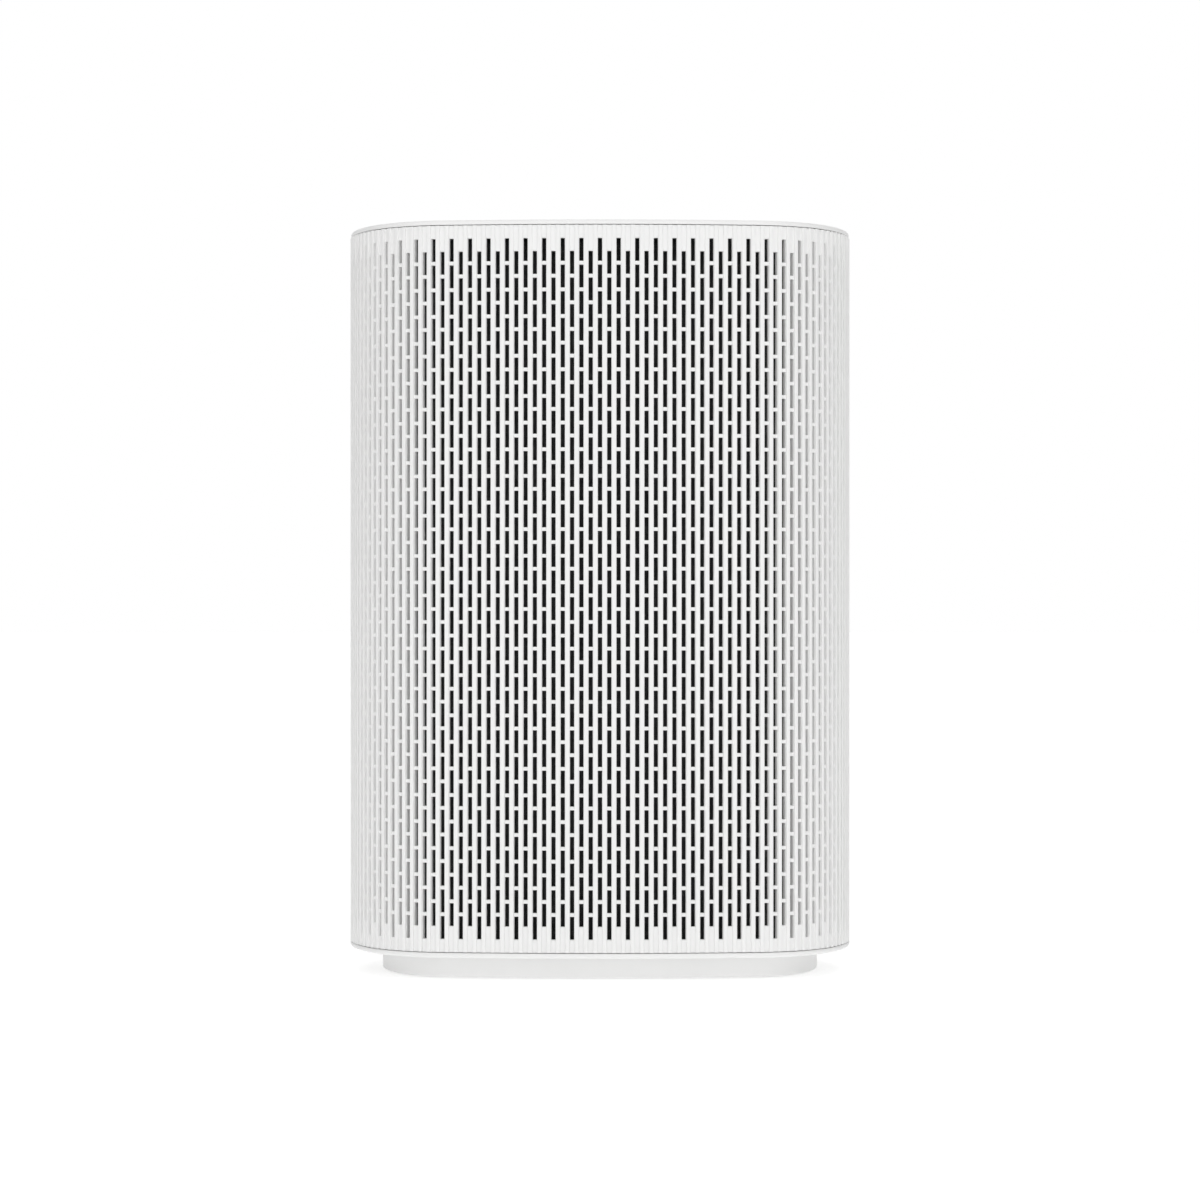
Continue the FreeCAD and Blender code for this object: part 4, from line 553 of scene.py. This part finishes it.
def glue_beads(low, high, face_y, inward):
    """Thin level beads of glue, sunk into the pack from one face, that hold the folds apart."""
    count = int((high.z - low.z) / bead_spacing)
    start = low.z + ((high.z - low.z) - (count - 1) * bead_spacing) / 2
    inner_y = face_y + inward * bead_depth
    bead = block((low.x, min(face_y, inner_y), start - bead_half_height),
                 (high.x, max(face_y, inner_y), start + bead_half_height))
    add_modifier(bead, "BEVEL", width=bead_round, segments=2)
    add_modifier(bead, "ARRAY", count=count, use_relative_offset=False, use_constant_offset=True,
                 constant_offset_displace=(0.0, 0.0, bead_spacing))
    return bead


filter_wall = 4.0 * mm
seal_width = 8.0 * mm
for side in ("front", "rear"):
    unit = side + "_filter_unit"
    low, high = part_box(side + "_filter_frame")
    window = [((low.x + filter_wall, low.z + filter_wall), (high.x - filter_wall, high.z - filter_wall))]
    finish_piece(frame_of(low, high, window, 0.5 * mm), side + "_cassette", card_white, unit, "filter_card",
                 side + "_filter_frame")
    low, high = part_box(side + "_filter_seal")
    window = [((low.x + seal_width, low.z + seal_width), (high.x - seal_width, high.z - seal_width))]
    finish_piece(frame_of(low, high, window, 1.2 * mm), side + "_foam_seal", foam_grey, unit, "seal_foam",
                 side + "_filter_seal")
    low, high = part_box(side + "_filter_pleats")
    finish_piece(pleat_pack(low, high), side + "_pleat_pack", pleat_paper, unit, "filter_paper",
                 side + "_filter_pleats", angle=50.0)
    outer_face = low.y if side == "front" else high.y
    inward = 1 if side == "front" else -1
    finish_piece(glue_beads(low, high, outer_face, inward), side + "_glue_beads", glue_white, unit,
                 "filter_paper")
    finish_nodes(carbon_black, side + "_filter_carbon")
    finish_nodes(tab_film, side + "_filter_tab")


# ---- Dust screens ----
# A washable screen hangs between each cover and its filter. Black nylon frame with two cross bars,
# and a fine black net moulded into it.
screen_black = plastic("black_nylon", (0.03, 0.03, 0.032), 0.55)
screen_net = new_material("black_net", 0.6)
net_across = on_object(screen_net, add_node(screen_net, "TexWave", Scale=800.0))
net_across.bands_direction = "X"
net_up = on_object(screen_net, add_node(screen_net, "TexWave", Scale=800.0))
net_up.bands_direction = "Z"
net_height = add_node(screen_net, "Math")
net_height.operation = "MAXIMUM"
screen_net.node_tree.links.new(net_across.outputs["Fac"], net_height.inputs[0])
screen_net.node_tree.links.new(net_up.outputs["Fac"], net_height.inputs[1])
tint(screen_net, net_height.outputs["Value"], (0.008, 0.008, 0.009), (0.055, 0.055, 0.058))
relief(screen_net, net_height.outputs["Value"], 0.25 * mm, 0.8)
screen_border = 8.0 * mm
for side in ("front", "rear"):
    low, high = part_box(side + "_screen_frame")
    span = (high.z - low.z - screen_border) / 3
    windows = [((low.x + screen_border, low.z + screen_border + row * span),
                (high.x - screen_border, low.z + (row + 1) * span)) for row in range(3)]
    finish_piece(frame_of(low, high, windows, 0.4 * mm), side + "_dust_screen", screen_black,
                 side + "_screen_unit", "screen_plastic", side + "_screen_frame")
    finish_nodes(screen_net, side + "_screen_mesh")


# ---- Perforated covers ----
# Two half shells of white ABS close the body front and back. Each is injection moulded with upright
# flutes, and staggered slots in the flutes let the room air in. Magnets in corner bosses hold them.
cover_low, cover_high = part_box("front_cover")
cover_wall = 5.0 * mm
half_gap = -cover_high.y
flute_pitch = 6.11 * mm
flute_width = 3.4 * mm
flute_depth = 1.2 * mm
slot_width = 2.8 * mm
slot_rows = 26
slot_bridge = 2.3 * mm
slot_margin = 8.5 * mm
slot_period = (cover_high.z - cover_low.z - 3 * slot_margin + slot_bridge) / slot_rows
outer_column = 36
rib_edge = 0.25 * mm
quarter_length = sum(radius * (end - start) for middle, radius, start, end in case_arcs)


def turn_after(distance):
    """Direction the outline faces, after that distance along it from the front's middle."""
    left = abs(distance)
    for middle, radius, start, end in case_arcs:
        if left <= radius * (end - start):
            break
        left -= radius * (end - start)
    return math.copysign(start + left / radius, distance)


def remove_faces(piece, chosen):
    """Delete the chosen faces."""
    edit(piece, "FACE", chosen)
    bpy.ops.mesh.delete(type="FACE")
    bpy.ops.object.mode_set(mode="OBJECT")


def repeat(piece, step, count):
    """Row of copies of the piece's mesh, each a step from the last, welded where they meet."""
    add_modifier(piece, "ARRAY", count=count, use_relative_offset=False, use_constant_offset=True,
                 constant_offset_displace=step, use_merge_vertices=True, merge_threshold=0.01 * mm)


def on_rib_front(start, end):
    """Edges of a rib's front face, but not the two where the next strip joins."""
    on_face = abs(start.y) < 0.01 * mm and abs(end.y) < 0.01 * mm
    at_joint = abs(abs(start.x) - flute_pitch / 2) < 0.01 * mm and abs(start.x - end.x) < 0.01 * mm
    return on_face and not at_joint


def flute(first_slot_drop):
    """Flat strip of cover one pitch wide: a flute down its middle, and a row of slots in the flute."""
    half_pitch = flute_pitch / 2
    strip = block((-half_pitch, 0.0, cover_low.z), (half_pitch, cover_wall, cover_high.z))
    cut(strip, block((-flute_width / 2, -over, cover_low.z - over),
                     (flute_width / 2, flute_depth, cover_high.z + over)))
    slot_top = cover_high.z - first_slot_drop
    slots = block((-slot_width / 2, -over, slot_top - slot_period + slot_bridge),
                  (slot_width / 2, cover_wall + over, slot_top))
    repeat(slots, (0.0, 0.0, -slot_period), slot_rows)
    cut(strip, slots)
    remove_faces(strip, lambda middle, normal: abs(abs(middle.x) - half_pitch) < 0.1 * mm
                 and abs(normal.x) > 0.9)
    round_edges(strip, on_rib_front, rib_edge, 2)
    return strip


even_flutes = flute(slot_margin)
even_flutes.data.transform(Matrix.Translation((-outer_column * flute_pitch, 0.0, 0.0)))
repeat(even_flutes, (2 * flute_pitch, 0.0, 0.0), outer_column + 1)
odd_flutes = flute(2 * slot_margin)
odd_flutes.data.transform(Matrix.Translation(((1 - outer_column) * flute_pitch, 0.0, 0.0)))
repeat(odd_flutes, (2 * flute_pitch, 0.0, 0.0), outer_column)

# Plain strips lie between the last flutes and the gaps where the covers meet.
fluted_end = (outer_column + 0.5) * flute_pitch
cover_end = quarter_length - half_gap
edge_strips = []
for sign in (-1, 1):
    ends = sorted((sign * fluted_end, sign * cover_end))
    strip = block((ends[0], 0.0, cover_low.z), (ends[1], cover_wall, cover_high.z))
    remove_faces(strip, lambda middle, normal: abs(middle.x - sign * fluted_end) < 0.1 * mm)
    round_edges(strip, lambda start, end: abs(start.y) < 0.01 * mm and abs(end.y) < 0.01 * mm
                and abs(start.x + end.x - 2 * sign * fluted_end) > 0.1 * mm, rib_edge, 2)
    edge_strips.append(strip)
front_cover = join([even_flutes, odd_flutes, *edge_strips])
weld(front_cover)

# The flat panel is bent round the case: x is the way along the outline, y is the depth into it.
for vertex in front_cover.data.vertices:
    turn = turn_after(vertex.co.x)
    place = outline_point(turn) - Vector((math.sin(turn), -math.cos(turn))) * vertex.co.y
    vertex.co = (place.x, place.y, vertex.co.z)

# Bosses inside the corners hold the magnets. Known fault: over is counted twice, so the pockets are
# 2 mm too shallow and the magnets overlap the plastic by that much. It is hidden and does not move.
magnet_low, magnet_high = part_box("front_cover_magnets")
magnet_radius = 4.0 * mm
pocket_gap = 0.1 * mm
boss_half = 6.0 * mm
boss_tall = 10.0 * mm
boss_inset = 4.5 * mm
bosses = []
for boss_x in (magnet_low.x + magnet_radius, magnet_high.x - magnet_radius):
    for boss_z in (magnet_low.z + magnet_radius, magnet_high.z - magnet_radius):
        boss = block((boss_x - boss_half, -cad_high.y, boss_z - boss_tall),
                     (boss_x + boss_half, magnet_high.y, boss_z + boss_tall))
        pocket = drum(0.0, 0.0, -over, magnet_high.y - magnet_low.y, magnet_radius + pocket_gap, 32)
        pocket.data.transform(Matrix.Translation((boss_x, magnet_high.y + over, boss_z))
                              @ Matrix.Rotation(math.radians(90), 4, "X"))
        cut(boss, pocket)
        bosses.append(boss)
magnet_bosses = join(bosses)
core = around_case([(boss_inset, cover_low.z), (boss_inset, cover_high.z)], closed=False)
add_modifier(magnet_bosses, "BOOLEAN", operation="INTERSECT", solver="EXACT", object=core)
bpy.data.objects.remove(core)

white_shell = plastic("white_shell", (0.89, 0.89, 0.885), 0.5)
finish_piece(join([front_cover, magnet_bosses]), "fluted_front_cover", white_shell, "front_cover_unit",
             "shell_white", "front_cover")
rear_cover = bpy.data.objects.new("fluted_rear_cover", front_cover.data.copy())
bpy.context.scene.collection.objects.link(rear_cover)
rear_cover.data.transform(Matrix.Rotation(math.pi, 4, "Z"))
finish_piece(rear_cover, "fluted_rear_cover", white_shell, "rear_cover_unit", "shell_white", "rear_cover")
nickel = metal("nickel_plate", (0.62, 0.61, 0.58), (0.82, 0.81, 0.78), 0.18)
finish_nodes(nickel, "front_cover_magnets", "rear_cover_magnets")


# ---- Top cap ----
# A white lid with a softly rounded edge. The wall of the air outlet well hangs from it. A long recess
# near the front takes the control strip, and below it the lid is open for the buttons and the display.
cap_low, cap_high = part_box("top_cap")
cap_thickness = 3.0 * mm
cap_inset = 0.5 * mm
cap_round = 1.2 * mm
well_inset = 40.0 * mm
well_wall = 2.5 * mm
well_round = 0.9 * mm
cap_under = cap_high.z - cap_thickness
cap = around_case([
    (cap_inset, cap_under),
    *quarter_round(cap_inset + cap_round, cap_high.z - cap_round, cap_round, 180, 90),
    *quarter_round(well_inset - well_round, cap_high.z - well_round, well_round, 90, 0),
    (well_inset, cap_low.z),
    (well_inset - well_wall, cap_low.z),
    (well_inset - well_wall, cap_under),
])
strip_low, strip_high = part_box("control_panel")
strip_play = 0.2 * mm
recess = block((strip_low.x - strip_play, strip_low.y - strip_play, strip_low.z),
               (strip_high.x + strip_play, strip_high.y + strip_play, cap_high.z + over))
cut(cap, recess)
lens_low, lens_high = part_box("display_lens")
lens_play = 0.1 * mm
lens_ledge = 1.0 * mm
button_radius = 7.0 * mm
button_play = 0.3 * mm
keys = ("power", "timer", "speed", "night")


def open_for_controls(piece, button_gap, lens_gap):
    """Round holes for the four buttons and a window for the display, right through a piece."""
    for key in keys:
        low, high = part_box(key + "_button")
        cut(piece, drum((low.x + high.x) / 2, (low.y + high.y) / 2, cap_under - over, cap_high.z + over,
                        button_radius + button_gap))
    cut(piece, block((lens_low.x - lens_gap, lens_low.y - lens_gap, cap_under - over),
                     (lens_high.x + lens_gap, lens_high.y + lens_gap, cap_high.z + over)))


open_for_controls(cap, 2 * button_play, lens_play + lens_ledge)
finish_piece(cap, "top_lid", plastic("white_cap", (0.87, 0.87, 0.865), 0.45), "chassis", "cap_white",
             "top_cap")


# ---- Control strip ----
# A satin white bar let into the lid, with a dark tinted display window in its middle. Two round push
# buttons on each side carry printed signs. All are moulded plastic, over the control board.
panel = block(strip_low, strip_high)
open_for_controls(panel, button_play, lens_play)
add_modifier(panel, "BEVEL", width=0.25 * mm, segments=2, limit_method="ANGLE", angle_limit=math.radians(50))
panel_white = plastic("strip_white", (0.88, 0.88, 0.88), 0.3, grain=1800.0, depth=0.008 * mm)
finish_piece(panel, "control_strip", panel_white, "chassis", "panel_white", "control_panel")

lens = block(lens_low, lens_high)
round_edges(lens, lambda start, end: abs(start.z - end.z) > 0.5 * mm, 1.2 * mm, 5)
round_edges(lens, at_level(lens_high.z), 0.3 * mm, 2)
finish_piece(lens, "display_window", plastic("tinted_window", (0.03, 0.03, 0.035), 0.12, grain=2000.0,
                                            depth=0.004 * mm), "chassis", "lens_dark", "display_lens")

sign_height = 0.03 * mm
sign_sink = 0.1 * mm
sign_line = 0.5 * mm
clock_line = 0.45 * mm
power_radius = 2.6 * mm
power_gap_half = 0.8 * mm
power_bar_foot = 0.4 * mm
clock_radius = 2.7 * mm
minute_hand = 1.9 * mm
hour_hand = 1.4 * mm
blade_width = 1.1 * mm
blade_length = 2.7 * mm
blade_hub = 0.75 * mm
moon_radius = 2.6 * mm
moon_bite = Vector((1.3 * mm, 0.7 * mm))
bite_radius = 2.2 * mm


def sign_ring(x, y, level, radius, width):
    """Flat printed ring."""
    ring = drum(x, y, level - sign_sink, level + sign_height, radius, 48)
    cut(ring, drum(x, y, level - over, level + over, radius - width, 48))
    return ring


def sign_bar(x, y, level, across, along, turn=0.0):
    """Flat printed bar, turned about the middle of its button."""
    bar = block((-across / 2, 0.0, level - sign_sink), (across / 2, along, level + sign_height))
    bar.data.transform(Matrix.Translation((x, y, 0.0)) @ Matrix.Rotation(turn, 4, "Z"))
    return bar


def button_sign(key, x, y, level):
    """The four generic signs: on and off, clock, fan and moon."""
    if key == "power":
        ring = sign_ring(x, y, level, power_radius, sign_line)
        cut(ring, block((x - power_gap_half, y, level - over),
                        (x + power_gap_half, y + power_radius + over, level + over)))
        return join([ring, sign_bar(x, y + power_bar_foot, level, sign_line, power_radius)])
    if key == "timer":
        return join([sign_ring(x, y, level, clock_radius, sign_line),
                     sign_bar(x, y, level, clock_line, minute_hand),
                     sign_bar(x, y, level, clock_line, hour_hand, math.radians(-120))])
    if key == "speed":
        blades = [sign_bar(x, y, level, blade_width, blade_length, math.radians(120 * turn + 20))
                  for turn in range(3)]
        return join([drum(x, y, level - sign_sink, level + sign_height, blade_hub, 24), *blades])
    moon = drum(x, y, level - sign_sink, level + sign_height, moon_radius, 48)
    cut(moon, drum(x + moon_bite.x, y + moon_bite.y, level - over, level + over, bite_radius, 48))
    return moon


button_white = plastic("button_white", (0.90, 0.90, 0.895), 0.4)
sign_grey = plastic("printed_grey", (0.22, 0.22, 0.23), 0.5, grain=1800.0)
rim_round = 0.3 * mm
rim_width = 1.2 * mm
dish_slope = 0.8 * mm
dish_depth = 0.25 * mm
for key in keys:
    low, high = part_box(key + "_button")
    middle_x, middle_y = (low.x + high.x) / 2, (low.y + high.y) / 2
    button = drum(middle_x, middle_y, low.z, high.z, button_radius, 72)
    round_edges(button, at_level(high.z), rim_round)
    edit(button, "FACE", lambda middle, normal: normal.z > 0.9999)
    bpy.ops.mesh.inset(thickness=rim_width)
    bpy.ops.mesh.inset(thickness=dish_slope, depth=-dish_depth)
    bpy.ops.object.mode_set(mode="OBJECT")
    finish_piece(button, key + "_push_button", button_white, key + "_key", "button_white", key + "_button")
    sign = button_sign(key, middle_x, middle_y, high.z - dish_depth)
    finish_piece(sign, key + "_sign", sign_grey, key + "_key", "lens_dark")


# ---- Outlet grille ----
# A white plate on the well's floor, with a long window crossed by upright slats that shield the fan.
grille_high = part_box("outlet_grille")[1]
slat_low, slat_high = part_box("grille_slats")
grille_thickness = 2.5 * mm
grille_gap = 0.3 * mm
grille_round = 0.5 * mm
grille_foot = grille_high.z - grille_thickness
grille = around_case([
    (well_inset + grille_gap, grille_foot),
    *quarter_round(well_inset + grille_gap + grille_round, grille_high.z - grille_round, grille_round,
                   180, 90, 3),
], closed=False)
window_end = 6.0 * mm
window_corner = 3.0 * mm
window = block((slat_low.x - window_end, slat_low.y, grille_foot - over),
               (slat_high.x + window_end, slat_high.y, grille_high.z + over))
round_edges(window, lambda start, end: abs(start.z - end.z) > over, window_corner, 6)
cut(grille, window)
grille_white = plastic("white_grille", (0.88, 0.88, 0.875), 0.5)
finish_piece(grille, "grille_plate", grille_white, "chassis", "grille_white", "outlet_grille")
slat_thickness = 2.4 * mm
slat_pitch = 8.0 * mm
slat_round = 0.9 * mm
slat_count = round((slat_high.x - slat_low.x - slat_thickness) / slat_pitch) + 1
slat = block(slat_low, (slat_low.x + slat_thickness, slat_high.y, slat_high.z))
round_edges(slat, lambda start, end: abs(start.x - end.x) < 0.01 * mm and abs(start.z - end.z) < 0.01 * mm,
            slat_round, 4)
add_modifier(slat, "ARRAY", count=slat_count, use_relative_offset=False, use_constant_offset=True,
             constant_offset_displace=(slat_pitch, 0.0, 0.0))
finish_piece(slat, "slat_row", grille_white, "chassis", "grille_white", "grille_slats")
